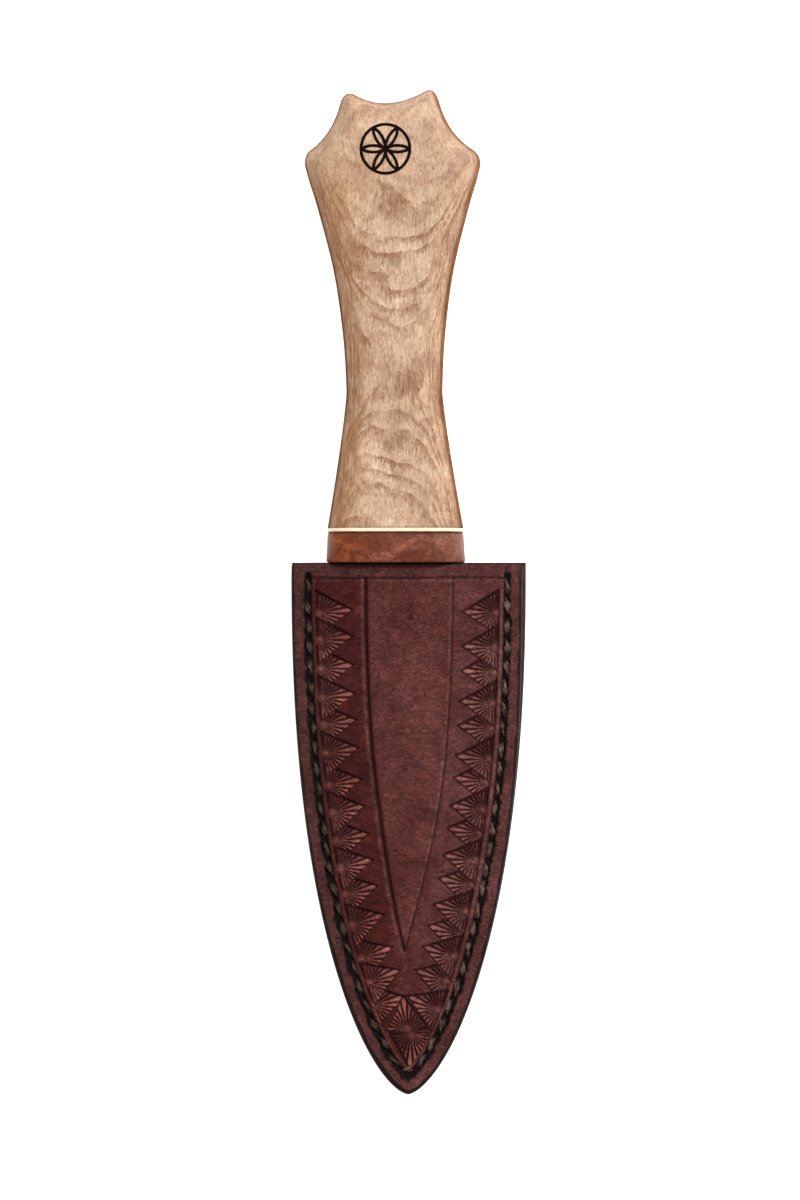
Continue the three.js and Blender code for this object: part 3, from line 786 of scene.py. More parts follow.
def strap_section():
    """The strap's cross-section: rounded edges and two creased lines on the outer face."""
    half_across = (STRAP_HIGH[0] - STRAP_LOW[0]) / 2
    half = STRAP_THICKNESS / 2
    corner = np.array([half_across, half]) - STRAP_ROUND
    outer = [tuple(corner + STRAP_ROUND * np.array([math.cos(turn), math.sin(turn)]))
             for turn in np.linspace(0, math.pi / 2, 6)]
    crease = half_across - STRAP_CREASE_INSET
    outer += [(crease + 0.4, half), (crease, half - STRAP_CREASE_DEPTH), (crease - 0.4, half)]
    outer += [(x, half) for x in np.linspace(crease - 1.5, 0, 8)]
    outer += [(-x, z) for x, z in outer[-2::-1]]
    # The inner face has the same rounded edges and no creases.
    plain = [(x, z) for x, z in outer if abs(x) > half_across - STRAP_ROUND - 0.01 or abs(x) < crease - 1]
    return np.array(outer + [(-x, -z) for x, z in plain])


def belt_strap():
    """The strap swept along its path, thinned and narrowed a little at both ends."""
    path = strap_path(150)
    along = unit(np.gradient(path, axis=0))
    outwards = np.stack([-along[:, 1], along[:, 0]], axis=1)
    section = strap_section()
    from_end = np.minimum(np.arange(len(path)), np.arange(len(path))[::-1])
    grow = np.array([0.0, 0.45, 0.8, 1.0])[np.minimum(from_end, 3)]
    vertices = []
    for point, normal, share in zip(path, outwards, grow):
        for x, height in section:
            y, z = point + normal * height * (0.55 + 0.45 * share)
            vertices.append([x - math.copysign(0.4 * (1 - share), x), y, z])
    across = np.abs(np.tile(section[:, 0], len(path)))
    rim = smooth_step(across, STRAP_HIGH[0] - 1.2, STRAP_HIGH[0] - 0.1)
    return make_mesh("belt_strap", vertices, sweep_faces(len(path), len(section)), rim=rim)


# ------------------------------------------------------------------ handle
def quadratic_chain(start, stretches, count):
    """Evenly spaced points along joined quadratic curves."""
    t = np.linspace(0, 1, 60)[:, None]
    fine = [np.array([start])]
    for bend, end in stretches:
        begin = fine[-1][-1]
        fine.append((1 - t) ** 2 * begin + 2 * t * (1 - t) * np.array(bend) + t * t * np.array(end))
    return resample(np.vstack(fine), count)


THICKNESS_CURVE = spline(THICKNESS_POINTS, 200)
SIDE_CURVE = spline(SIDE_POINTS, 400)
CROWN_CURVE = quadratic_chain(CROWN_START, CROWN_STRETCHES, 600)
RIM_LINE = np.vstack([SIDE_CURVE * [-1, 1], CROWN_CURVE, SIDE_CURVE[::-1]])


def handle_centre(y):
    """The x of the handle's middle line, which leans a little, at a height."""
    bolster = (BOLSTER_LOW + BOLSTER_HIGH) / 2
    pommel_x = (GRIP_LOW[0] + GRIP_HIGH[0]) / 2
    pommel_y = GRIP_START + SIDE_POINTS[-1][1]
    return bolster[0] + (pommel_x - bolster[0]) * (y - bolster[1]) / (pommel_y - bolster[1])


def half_thickness(y):
    """Half the handle's thickness in its middle, at a height."""
    return np.interp(y - MOUTH_Y, THICKNESS_CURVE[:, 0], THICKNESS_CURVE[:, 1])


def rim_share(distance):
    """Height of the rounded face as a share of the half-thickness, at a distance in from the edge."""
    inside = np.clip(1 - distance / RIM_WIDTH, 0, 1)
    rounded = (1 - inside**RIM_POWER) ** (1 / RIM_POWER)
    return rounded * (1 - CROWN_FALL * np.clip(1 - distance / CROWN_WIDTH, 0, 1) ** 2)


def rim_distance(x, height):
    """Distance of each point from the grip's sides and scalloped end."""
    flat_x, flat_y = x.ravel(), height.ravel()
    best = np.empty_like(flat_x)
    start, step = RIM_LINE[:-1], np.diff(RIM_LINE, axis=0)
    square = np.maximum((step**2).sum(axis=1), TINY**2)
    for first in range(0, len(flat_x), CHUNK):
        part = slice(first, first + CHUNK)
        dx = flat_x[part, None] - start[None, :, 0]
        dy = flat_y[part, None] - start[None, :, 1]
        t = np.clip((dx * step[:, 0] + dy * step[:, 1]) / square, 0, 1)
        gap = (dx - t * step[:, 0]) ** 2 + (dy - t * step[:, 1]) ** 2
        best[part] = np.sqrt(gap.min(axis=1))
    return best.reshape(x.shape)


def cross_shares(count):
    """Positions across the handle from -1 to 1, closer together towards its edges."""
    return -np.cos(np.linspace(0, math.pi, count))


def skin(name, x, y, z, closed_top, **masks):
    """A closed body whose front and back faces mirror each other about the knife's middle plane."""
    rows, columns = x.shape
    front = np.stack([x + handle_centre(y), y, KNIFE_Z + z], axis=-1).reshape(-1, 3)
    back = front * [1, 1, -1] + [0, 0, 2 * KNIFE_Z]
    index = np.arange(rows * columns).reshape(rows, columns)
    back_index = index + rows * columns
    shared = [(slice(None), 0), (slice(None), -1)] + ([(-1, slice(None))] if closed_top else [])
    for edge in shared:
        back_index[edge] = index[edge]
    ends = [0] if closed_top else [0, -1]
    faces = quads(index) + quads(back_index) + [[*index[end], *back_index[end, -2:0:-1]] for end in ends]
    doubled = {key: np.tile(values.ravel(), 2) for key, values in masks.items()}
    thing = make_mesh(name, np.vstack([front, back]), faces, **doubled)
    rework(thing.data, drop_loose)
    return thing


def grip_wood():
    """The grip's face is stretched between its straight front end, its sides and its scalloped end."""
    u = cross_shares(150)
    v = np.sin(np.linspace(0, math.pi / 2, 230))
    end = sample((u + 1) / 2, np.linspace(0, 1, len(CROWN_CURVE)), CROWN_CURVE)
    side = sample(v, np.linspace(0, 1, len(SIDE_CURVE)), SIDE_CURVE)
    front_half, side_half = SIDE_POINTS[0][0], SIDE_POINTS[-1][0]
    across, up = np.meshgrid(u, v)
    x = (1 - up) * front_half * across + up * end[None, :, 0] + side[:, None, 0] * across
    x -= ((1 - up) * front_half + up * side_half) * across
    height = up * end[None, :, 1] + side[:, None, 1] - up * SIDE_POINTS[-1][1]
    distance = rim_distance(x, height)
    y = height + GRIP_START
    share = rim_share(distance)
    # Masks for the painted shade along the edges: a narrow dark rim and a wider band over the rounded sides.
    rim = (1 - smooth_step(distance, 0.1, 1.3)) * (0.7 + 0.3 * smooth_step(share, 0.1, 0.6))
    flank = 1 - smooth_step(distance, 0.6, 6.5)
    return skin("grip_wood", x, y, half_thickness(y) * share, True, rim=rim, flank=flank)


def handle_block(name, low_y, high_y, low_half, high_half, bevel):
    """A short length of handle with lightly rounded ends."""
    u = cross_shares(110)
    rows = [(low_y, bevel), (low_y + bevel * 0.3, bevel * 0.3), (low_y + bevel, 0),
            (high_y - bevel, 0), (high_y - bevel * 0.3, bevel * 0.3), (high_y, bevel)]
    x, y, z = [], [], []
    for row_y, less in rows:
        half = low_half + (high_half - low_half) * (row_y - low_y) / (high_y - low_y)
        x.append((half - less) * u)
        y.append(np.full(len(u), row_y))
        shrink = 1 - less / THICKNESS_POINTS[0][1]
        z.append(half_thickness(row_y) * rim_share(half - np.abs(half * u)) * shrink)
    return skin(name, np.array(x), np.array(y), np.array(z), False)


# ------------------------------------------------------------------ blade and tang
def steel_sweep(name, sections):
    """A crisp-edged steel body through sections, each given as its y and its outline's x and z."""
    vertices = [[x + handle_centre(y), y, KNIFE_Z + z] for y, outline in sections for x, z in outline]
    thing = make_mesh(name, vertices, sweep_faces(len(sections), len(sections[0][1])))
    rework(thing.data, mark_sharp)
    return thing


def blade_section(half, ridge_z, flat, edge_z):
    """The blade's outline: bevels fall from the flat beside the middle ridge to the edges."""
    slope = list(zip(np.linspace(flat, half, 9)[1:], np.linspace(ridge_z, edge_z, 9)[1:]))
    front = [(-x, z) for x, z in slope[::-1]] + [(-flat, ridge_z), (0.0, ridge_z), (flat, ridge_z)] + slope
    return front + [(x, -z) for x, z in front[::-1]]


def steel_blade():
    """A spear-point blade: a plain ricasso, then two bevels that meet in a crisp middle ridge."""
    full = (BLADE_HIGH[0] - BLADE_LOW[0]) / 2
    ridge_full = (BLADE_HIGH[2] - BLADE_LOW[2]) / 2
    flat_full, edge_full = full - BLADE_CHAMFER[0], ridge_full - BLADE_CHAMFER[1]
    ricasso_y = MOUTH_Y - RICASSO_LENGTH
    grind_y = ricasso_y - GRIND_LENGTH
    sections = []
    for y in np.linspace(BOLSTER_LOW[1], ricasso_y, 6):
        sections.append((y, blade_section(full, ridge_full, flat_full, edge_full)))
    for share in np.linspace(0, 1, 14)[1:]:
        flat = flat_full * (1 - share) ** 1.6 + RIDGE_HALF
        edge = edge_full + (EDGE_HALF_THICKNESS - edge_full) * smooth_step(share, 0, 1)
        sections.append((ricasso_y - GRIND_LENGTH * share, blade_section(full, ridge_full, flat, edge)))
    for quarter in np.linspace(0, math.pi / 2, 90)[1:]:
        share = math.sin(quarter)
        half = max(full * (1 - share**2) ** BLADE_TAPER, POINT_HALF_WIDTH)
        ridge_z = max(ridge_full * (half / full) ** RIDGE_POWER, EDGE_HALF_THICKNESS)
        y = grind_y + (BLADE_LOW[1] - grind_y) * share
        sections.append((y, blade_section(half, ridge_z, min(RIDGE_HALF, half * 0.3), EDGE_HALF_THICKNESS)))
    return steel_sweep("steel_blade", sections)


def steel_tang():
    """The tapered tang inside the handle, with its corners eased."""
    thick = TANG_THICKNESS / 2
    sections = []
    for share in np.linspace(0, 1, 12):
        half = (TANG_WIDTHS[0] + (TANG_WIDTHS[1] - TANG_WIDTHS[0]) * share) / 2
        front = [(half, thick - TANG_EASE), (half - TANG_EASE, thick),
                 (TANG_EASE - half, thick), (-half, thick - TANG_EASE)]
        y = BOLSTER_LOW[1] + (BLADE_HIGH[1] - BOLSTER_LOW[1]) * share
        sections.append((y, front + [(-x, -z) for x, z in front]))
    return steel_sweep("steel_tang", sections)


# ------------------------------------------------------------------ burned rosette in place of the mark
def arc(centre, radius, start, end, count):
    """Points along an arc between two directions."""
    turns = np.linspace(start, end, count)
    return np.array(centre) + radius * np.stack([np.cos(turns), np.sin(turns)], axis=1)


def rosette_lines():
    """A plain compass rosette: a ring and six petals drawn with arcs of the ring's own radius."""
    radius = MARK_RADIUS - MARK_LINE / 2
    third = math.pi / 3
    lines = [arc((0, 0), radius, 0, 2 * math.pi, 97)]
    for k in range(6):
        centre = radius * np.array([math.cos(k * third), math.sin(k * third)])
        lines.append(arc(centre, radius, k * third + math.pi - third, k * third + math.pi + third, 33))
    return lines


def burned_mark():
    """Each burned line is a closed ribbon sunk in the grip, standing hardly proud of it."""
    vertices, faces = [], []
    middle_y = MOUTH_Y + MARK_Y
    middle = np.array([handle_centre(middle_y) + MARK_X, middle_y])
    for number, line in enumerate(rosette_lines()):
        along = unit(np.gradient(line, axis=0))
        side = np.stack([-along[:, 1], along[:, 0]], axis=1) * MARK_LINE / 2
        left, right = middle + line + side, middle + line - side
        flat = np.stack([left, right, right, left], axis=1).reshape(-1, 2)
        distance = rim_distance(flat[:, 0] - handle_centre(flat[:, 1]), flat[:, 1] - GRIP_START)
        z = KNIFE_Z + half_thickness(flat[:, 1]) * rim_share(distance) + MARK_PROUD + MARK_STEP * number
        z -= np.tile([0, 0, MARK_DEEP, MARK_DEEP], len(line))
        faces += sweep_faces(len(line), 4, first=len(vertices))
        vertices += np.column_stack([flat, z]).tolist()
    return make_mesh("burned_mark", vertices, faces, smooth=False)


# ------------------------------------------------------------------ material helpers
def colour(red, green, blue):
    """A display colour of 0 to 255 as the linear values that shaders use."""
    def linear(value):
        value /= 255
        return value / 12.92 if value <= 0.04045 else ((value + 0.055) / 1.055) ** 2.4
    return (linear(red), linear(green), linear(blue), 1.0)


class Value:
    """Something that nodes work out. Arithmetic on it adds a Math node for each step."""

    def __init__(self, finish, socket):
        self.finish = finish
        self.socket = socket

    def __add__(self, other):
        return self.finish.math("ADD", self, other)

    def __sub__(self, other):
        return self.finish.math("SUBTRACT", self, other)

    def __rsub__(self, other):
        return self.finish.math("SUBTRACT", other, self)

    def __mul__(self, other):
        return self.finish.math("MULTIPLY", self, other)

    def __truediv__(self, other):
        return self.finish.math("DIVIDE", self, other)


class Finish:
    """A material built from nodes. Lengths given to it are millimetres, and colours display colours."""

    def __init__(self, name, roughness, specular=0.5, metallic=0.0):
        self.material = bpy.data.materials.new(name)
        self.material.use_nodes = True
        self.tree = self.material.node_tree
        self.tree.nodes.clear()
        output = self.tree.nodes.new("ShaderNodeOutputMaterial")
        self.shader = self.tree.nodes.new("ShaderNodeBsdfPrincipled")
        self.tree.links.new(self.shader.outputs["BSDF"], output.inputs["Surface"])
        self.set("Roughness", roughness)
        self.set("Specular IOR Level", specular)
        self.set("Metallic", metallic)
        metres = self.node("TexCoord", "Object")
        self.place = self.node("VectorMath", "Vector", {0: metres, "Scale": 1 / MM}, operation="SCALE")

    def feed(self, socket, value):
        """Links a worked-out value to a socket, or sets the socket to a plain one."""
        if isinstance(value, Value):
            self.tree.links.new(value.socket, socket)
        else:
            socket.default_value = value

    def set(self, socket, value):
        """Feeds one of the shader's own sockets."""
        self.feed(self.shader.inputs[socket], value)

    def node(self, kind, output, inputs=None, **settings):
        """Adds a node with its settings and inputs, and returns one of its outputs."""
        node = self.tree.nodes.new("ShaderNode" + kind)
        for key, value in settings.items():
            setattr(node, key, value)
        for key, value in (inputs or {}).items():
            self.feed(node.inputs[key], value)
        return Value(self, node.outputs[output])

    def math(self, operation, a, b=0.0):
        """One step of arithmetic on values or plain numbers."""
        return self.node("Math", "Value", {0: a, 1: b}, operation=operation)

    def axis(self, name):
        """The X, Y or Z of the place."""
        return self.node("SeparateXYZ", name, {0: self.place})

    def mask(self, name):
        """A mask stored on the mesh's vertices."""
        return self.node("Attribute", "Fac", attribute_name=name)

    def stretched(self, size, stretch):
        """The place counted in sizes, times the stretch along each axis."""
        steps = tuple(1 / (size * factor) for factor in stretch)
        return self.node("VectorMath", "Vector", {0: self.place, 1: steps}, operation="MULTIPLY")

    def noise(self, size, detail=3.0, roughness=0.55, distortion=0.0, stretch=(1, 1, 1)):
        """Noise whose features are about size millimetres across, times the stretch along each axis."""
        return self.node("TexNoise", "Fac", {
            "Vector": self.stretched(size, stretch), "Scale": 1.0, "Detail": detail,
            "Roughness": roughness, "Distortion": distortion})

    def cells(self, size, stretch=(1, 1, 1)):
        """Distance in a cell pattern whose cells are about size millimetres across."""
        return self.node("TexVoronoi", "Distance", {"Vector": self.stretched(size, stretch), "Scale": 1.0})

    def span(self, value, low, high, new_low=0.0, new_high=1.0, smooth=False):
        """The value with the range from low to high turned into the new one, straight or eased."""
        bounds = {"Value": value, "From Min": low, "From Max": high, "To Min": new_low, "To Max": new_high}
        kind = "SMOOTHSTEP" if smooth else "LINEAR"
        return self.node("MapRange", "Result", bounds, interpolation_type=kind)

    def ramp(self, value, *stops):
        """Colours at positions from 0 to 1."""
        node = self.tree.nodes.new("ShaderNodeValToRGB")
        elements = node.color_ramp.elements
        while len(elements) > 1:
            elements.remove(elements[-1])
        for k, (position, tint) in enumerate(stops):
            element = elements[0] if k == 0 else elements.new(position)
            element.position = position
            element.color = colour(*tint)
        self.feed(node.inputs["Fac"], value)
        return Value(self, node.outputs["Color"])

    def mix(self, share, a, b, blend="MIX"):
        """Colour a with a share of colour b over it."""
        return self.node("Mix", 2, {0: share, 6: a, 7: b}, data_type="RGBA", blend_type=blend)

    def paint(self, share, over, blend="MIX"):
        """Lays a colour over the tint so far, by a share."""
        over = over if isinstance(over, Value) else colour(*over)
        self.tint = self.mix(share, self.tint, over, blend)

    def shade(self, value):
        """Makes the tint so far darker and lighter by a factor."""
        self.paint(1.0, self.node("CombineXYZ", "Vector", {0: value, 1: value, 2: value}), "MULTIPLY")

    def made(self, height, depth):
        """The material in its tint, its shading raised by a height of 0 to 1 times a depth."""
        self.set("Base Color", self.tint)
        self.set("Normal", self.node("Bump", "Normal", {"Distance": depth * MM, "Height": height}))
        return self.material


# ------------------------------------------------------------------ leather and thread
def tooled_leather():
    """Burgundy-brown vegetable-tanned leather with a burnished dark rim, dye and painted shade darkening its
    cuts and stamped hollows, painted shade in the seam's groove, and painted highlights and sheen.
    """
    leather = Finish("tooled_leather", 0.52, 0.14)
    broad = leather.noise(13, 3, 0.6)
    patches = leather.noise(3.0, 4, 0.65)
    fibres = leather.noise(1.15, 4, 0.75, 2.4, stretch=(1.8, 1, 1))
    grain = leather.noise(0.34, 2, 0.6)
    x = leather.axis("X")
    on_right = leather.span(x, -6.0, 10.0)

    def dyed(low, high):
        """A colour that drifts between two over a few centimetres."""
        return leather.ramp(broad, (0.3, low), (0.7, high))

    leather.tint = dyed((63, 16, 14), (86, 31, 28))
    # Painted sheen: right of the middle the leather is painted lighter and greyer.
    leather.paint(on_right, dyed((83, 39, 37), (106, 62, 59)))
    leather.paint(leather.mask("heart"), dyed((82, 36, 33), (106, 58, 54)))
    leather.paint(leather.mask("border"), dyed((79, 40, 37), (101, 58, 54)))
    # Painted highlight: the stamped bars are painted far paler than the leather round them, the right row's
    # greyer.
    left_stamped = dyed((152, 80, 71), (186, 114, 104))
    right_stamped = dyed((138, 82, 77), (168, 112, 106))
    leather.paint(leather.mask("stamped"), leather.mix(on_right, left_stamped, right_stamped))
    # Painted shade on each fan's upper half.
    leather.paint(leather.mask("upper_shade") * 0.68, (80, 32, 29))
    # Painted highlight: the raised strips and the strip under the top line are painted paler, as if lit.
    leather.paint(leather.mask("lit") * leather.span(patches, 0.35, 0.6, 0.15, 0.6), (140, 98, 90))
    mottle = leather.span(patches, 0.32, 0.7, 0.72, 1.26)
    speckle = leather.span(fibres, 0.34, 0.66, 0.36, 1.72)
    grained = leather.span(grain, 0.3, 0.7, 0.7, 1.3)
    # Darker towards the left.
    left_darkening = leather.span(x, -26.0, 4.0, 0.72, 1.0, smooth=True)
    leather.shade(mottle * speckle * grained * left_darkening)
    # Darkened: the fans' hollows and the bottoms of the cuts with dye and painted shade, the seam's groove
    # with painted shade, and the burnished rim with its own dark colour.
    for mask, share, darkening in (("hollow_dye_and_shade", 0.95, (40, 5, 4)), ("cut", 0.93, (22, 5, 4)),
                               ("seam_groove_shade", 0.96, (13, 7, 6)), ("rim", 0.96, (18, 4, 4))):
        leather.paint(leather.mask(mask) * share, darkening)
    leather.set("Roughness", leather.span(patches, 0.3, 0.7, 0.6, 0.44))
    return leather.made(grain * 0.4 + fibres, 0.4)


def plain_leather():
    """The same hide left untooled, for the back and the belt strap."""
    leather = Finish("plain_leather", 0.55, 0.3)
    broad = leather.noise(22, 4, 0.6)
    patches = leather.noise(4.5, 4, 0.6)
    fine = leather.noise(0.8, 3, 0.6)
    scuffs = leather.noise(2.0, 4, 0.7, 1.5, stretch=(1, 5, 1))
    leather.tint = leather.ramp(broad, (0.28, (66, 34, 31)), (0.72, (92, 52, 47)))
    leather.shade(leather.span(patches, 0.3, 0.72, 0.82, 1.14) * leather.span(fine, 0.25, 0.75, 0.88, 1.1))
    leather.paint(leather.span(scuffs, 0.66, 0.78, 0.0, 0.35), (128, 84, 74))
    # Painted shade in the seam's groove.
    leather.paint(leather.mask("seam_groove_shade") * 0.4, (44, 22, 20))
    leather.paint(leather.mask("rim") * 0.75, (40, 21, 19))
    leather.set("Roughness", leather.span(patches, 0.3, 0.7, 0.66, 0.5))
    return leather.made(leather.cells(0.5) * 0.7 + fine * 0.6, 0.07)


def welt_leather():
    """Burnished edge of the layers: dark, waxed, with fibres running along it."""
    leather = Finish("welt_leather", 0.5, 0.2)
    layers = leather.noise(0.5, 4, 0.65, stretch=(8, 8, 1))
    blotches = leather.noise(5, 3, 0.6)
    leather.tint = leather.ramp(layers, (0.3, (30, 15, 13)), (0.7, (62, 33, 27)))
    leather.paint(leather.span(blotches, 0.35, 0.7, 0.0, 0.5), (84, 48, 38))
    leather.set("Roughness", leather.span(blotches, 0.3, 0.7, 0.45, 0.6))
    return leather.made(layers, 0.08)


def waxed_thread():
    """Dark waxed linen with brown fibres, a painted highlight on the stitches' tops and painted shade where
    the thread dives into its holes.
    """
    thread = Finish("waxed_thread", 0.5, 0.32)
    fibres = thread.noise(0.3, 3, 0.65, 0.6, stretch=(1, 3, 1))
    dirt = thread.noise(1.3, 3, 0.6)
    worn = thread.mask("worn")
    thread.tint = thread.ramp(fibres, (0.35, (10, 6, 5)), (0.7, (66, 50, 42)))
    # Painted highlight: paler on the stitches' tops, far more on the right row.
    glint = worn * thread.span(dirt, 0.36, 0.6) * thread.span(fibres, 0.34, 0.6)
    thread.paint(glint, (146, 116, 104))
    # Painted shade: near black where the stitches dive into their holes, and over most of the left row.
    thread.paint(thread.span(worn, 0.0, 0.12, 0.95, 0.0), (10, 5, 5))
    return thread.made(fibres, 0.12)


# ------------------------------------------------------------------ wood
def ring_radius(wood, x, above, z):
    """Distance from the ash's bent pith, made uneven as real rings are."""
    bend = wood.noise(26, 2, 0.5, stretch=(1, 1.1, 1))
    ripple = wood.noise(7, 3, 0.6, stretch=(1, 1.2, 1))
    reach = wood.math("SQRT", above * above + PITH_BEND**2)
    off_x = x - (above * PITH_DRIFT + handle_centre(MOUTH_Y + WAIST_Y))
    off_z = KNIFE_Z + PITH_HEIGHT - reach * PITH_SLOPE - z
    radius = wood.math("SQRT", off_x * off_x + off_z * off_z)
    radius += wood.math("SINE", radius * 1.7) * 0.4
    radius += (bend - 0.5) * 4.4
    return radius + (ripple - 0.5) * 1.3


def ash_wood():
    """Ash whose pith lies in front of the grip and nearer it at both ends.

    So its rings cross the grip in U-shaped arcs above the waist and in arches below it, and run along
    its sides. Every ring starts at a sharp line, from which short dark pores hang down.
    """
    wood = Finish("ash_wood", 0.5)
    x, y, z = (wood.axis(name) for name in "XYZ")
    above = y - (MOUTH_Y + WAIST_Y)
    phase = wood.math("FRACT", ring_radius(wood, x, above, z) / RING_SPACING)
    upper = wood.span(above, -6.0, 6.0, smooth=True)
    below_line = phase * upper + (1.0 - phase) * (1.0 - upper)
    streaks = wood.noise(0.42, 2, 0.55, stretch=(1, 7, 1))
    hang = wood.span(streaks, 0.3, 0.7, 0.16, 1.0)
    clusters = wood.noise(6.0, 3, 0.6, stretch=(1, 1.3, 1))
    crowned = wood.span(above, 38.0, 48.0, 1.0, 0.3, smooth=True)
    band = wood.span(below_line, hang * 0.35, hang, 1.0, 0.0)
    band = band * wood.span(clusters, 0.36, 0.6, 0.3, 1.0, smooth=True) * crowned

    broad = wood.noise(19, 3, 0.6)
    clouds = wood.noise(5, 4, 0.62, 0.6, stretch=(1, 1.3, 1))
    wood.tint = wood.ramp(broad, (0.3, (199, 164, 134)), (0.7, (222, 189, 160)))
    wood.paint(wood.span(clouds, 0.46, 0.66, 0.0, 0.75, smooth=True), (175, 138, 113))
    wood.paint(wood.span(clouds, 0.44, 0.26, 0.0, 0.6, smooth=True), (236, 206, 176))
    edge_x = x - (clouds - 0.5) * 14
    wood.paint(wood.span(edge_x, -19.0, -7.0, 0.6, 0.0, smooth=True) * crowned, (172, 118, 68))

    streaky = wood.noise(0.75, 3, 0.65, stretch=(1, 12, 1))
    # Painted shade along the rounded sides, streaked with the grain, stronger on the left and weaker on the
    # scalloped end.
    flank = wood.mask("flank") * wood.span(streaky, 0.4, 0.6, 0.15, 1.0) * wood.span(x, -9.0, 9.0, 0.92, 0.55)
    wood.paint(flank * wood.span(above, 34.0, 50.0, 1.0, 0.45, smooth=True), (142, 90, 44))
    wood.paint(band * 0.74, (148, 104, 72))

    lines = wood.noise(0.34, 3, 0.6, stretch=(1, 9, 1))
    patches = wood.noise(7.5, 2, 0.5, 0.4, stretch=(1, 1.5, 1))
    lined = wood.span(lines, 0.42, 0.66) * wood.span(patches, 0.48, 0.62, 0.12, 0.7)
    wood.paint(lined, (206, 186, 166), "MULTIPLY")
    pore = wood.span(wood.cells(0.62, stretch=(0.5, 3.2, 0.5)), 0.08, 0.22, 1.0, 0.0)
    wood.paint(pore * (band * 0.8 + 0.15), (150, 124, 108), "MULTIPLY")
    wood.shade(wood.span(wood.noise(0.5, 3, 0.7, stretch=(1, 3, 1)), 0.32, 0.68, 0.74, 1.22))
    # Painted shade: the very edge is darkened as if the light fell off there, and it has no sheen.
    rim = wood.mask("rim")
    wood.paint(rim, (160, 114, 68), "MULTIPLY")
    wood.set("Specular IOR Level", wood.span(rim, 0.0, 0.6, 0.12, 0.0))
    wood.set("Roughness", wood.span(band, 0.0, 1.0, 0.5, 0.62))
    return wood.made(lines * 0.5 - pore, 0.14)


def burl_wood():
    """Reddish-brown burl with swirled, cloudy figure and dark veins, more orange on its left."""
    wood = Finish("burl_wood", 0.42, 0.07)
    swirl = wood.noise(7.5, 4, 0.62, 1.8, stretch=(1.2, 1, 1))
    veins = wood.noise(2.7, 3, 0.6, 2.0)
    fine = wood.noise(0.6, 3, 0.6, 0.8)
    x = wood.axis("X")
    wood.tint = wood.ramp(swirl, (0.32, (90, 44, 30)), (0.5, (118, 62, 45)), (0.7, (160, 100, 78)))
    orange = wood.ramp(swirl, (0.32, (116, 54, 26)), (0.6, (150, 78, 42)), (0.75, (172, 98, 60)))
    wood.paint(wood.span(x, -18.0, -5.0, 1.0, 0.0, smooth=True), orange)
    wood.paint(wood.span(x, 4.0, 15.0, 0.0, 0.4, smooth=True), (182, 134, 108))
    wood.paint(wood.span(wood.math("ABSOLUTE", veins - 0.5), 0.0, 0.05, 0.75, 0.0), (78, 40, 30))
    wood.paint(wood.span(fine, 0.5, 0.72, 0.0, 0.4), (94, 52, 38))
    return wood.made(fine, 0.04)


def maple_veneer():
    """Pale close-grained veneer, its fine lines running across the handle."""
    wood = Finish("maple_veneer", 0.45, 0.3)
    lines = wood.noise(0.12, 3, 0.6, stretch=(14, 1, 14))
    wood.tint = wood.ramp(lines, (0.3, (246, 214, 176)), (0.6, (255, 242, 216)))
    wood.paint(wood.span(wood.noise(3, 2, 0.5), 0.4, 0.7, 0.0, 0.3), (250, 222, 186))
    return wood.made(lines, 0.02)


# ------------------------------------------------------------------ the other materials
def grainy(name, roughness, specular, grain, bump, low, high, stretch=(1, 1, 1)):
    """A plain material that varies between two colours with one fine grain."""
    finish = Finish(name, roughness, specular)
    height = finish.noise(*grain, stretch=stretch)
    finish.tint = finish.ramp(height, low, high)
    return finish.made(height, bump)


def dark_fibre():
    """A thin dark sheet under the veneer, standing for the dark line at that joint: partly a glue line,
    partly shade.
    """
    return grainy("dark_fibre", 0.5, 0.3, (0.5, 3, 0.6), 0.02,
                  (0.3, (50, 28, 18)), (0.7, (96, 60, 42)), stretch=(3, 1, 3))


def char():
    """Burned lines in wood: brown-black, with a slightly uneven, dry surface."""
    return grainy("char", 0.8, 0.05, (0.4, 3, 0.6), 0.04, (0.3, (8, 3, 3)), (0.75, (30, 14, 10)))


def bedding_epoxy():
    """Amber epoxy mixed with wood dust."""
    return grainy("bedding_epoxy", 0.35, 0.5, (0.6, 4, 0.6), 0.03,
                  (0.3, (140, 112, 70)), (0.7, (188, 160, 112)))


def ground_steel():
    """Tool steel with a fine satin grind across the blade."""
    steel = Finish("ground_steel", 0.3, metallic=1.0)
    scratches = steel.noise(0.13, 2, 0.6, stretch=(30, 1, 30))
    haze = steel.noise(9, 3, 0.55)
    steel.tint = steel.ramp(scratches, (0.3, (176, 178, 180)), (0.7, (206, 208, 210)))
    steel.set("Roughness", steel.span(scratches, 0.3, 0.7, 0.2, 0.36) + steel.span(haze, 0.3, 0.7, 0.0, 0.08))
    return steel.made(scratches, 0.004)


# ------------------------------------------------------------------ assembly
PLAIN, WELT, THREAD, STEEL = plain_leather(), welt_leather(), waxed_thread(), ground_steel()

finish_piece(front_leather(), tooled_leather(), "sheath", "tooled_leather", "front_panel")
finish_piece(back_leather(), PLAIN, "sheath", "plain_leather", "back_panel")
for side_name, side in (("left", -1), ("right", 1)):
    strip = welt(f"welt_strip_{side_name}", side)
    finish_piece(strip, WELT, "sheath", "welt_leather", f"welt_{side_name}")
finish_piece(seam_stitches(), THREAD, "sheath", "waxed_thread", "seam_thread")
finish_piece(belt_strap(), PLAIN, "sheath", "plain_leather", "belt_loop")
for end in ("upper", "lower"):
    node = f"loop_thread_{end}"
    finish_piece(pad_stitches(f"strap_stitches_{end}", node), THREAD, "sheath", "waxed_thread", node)

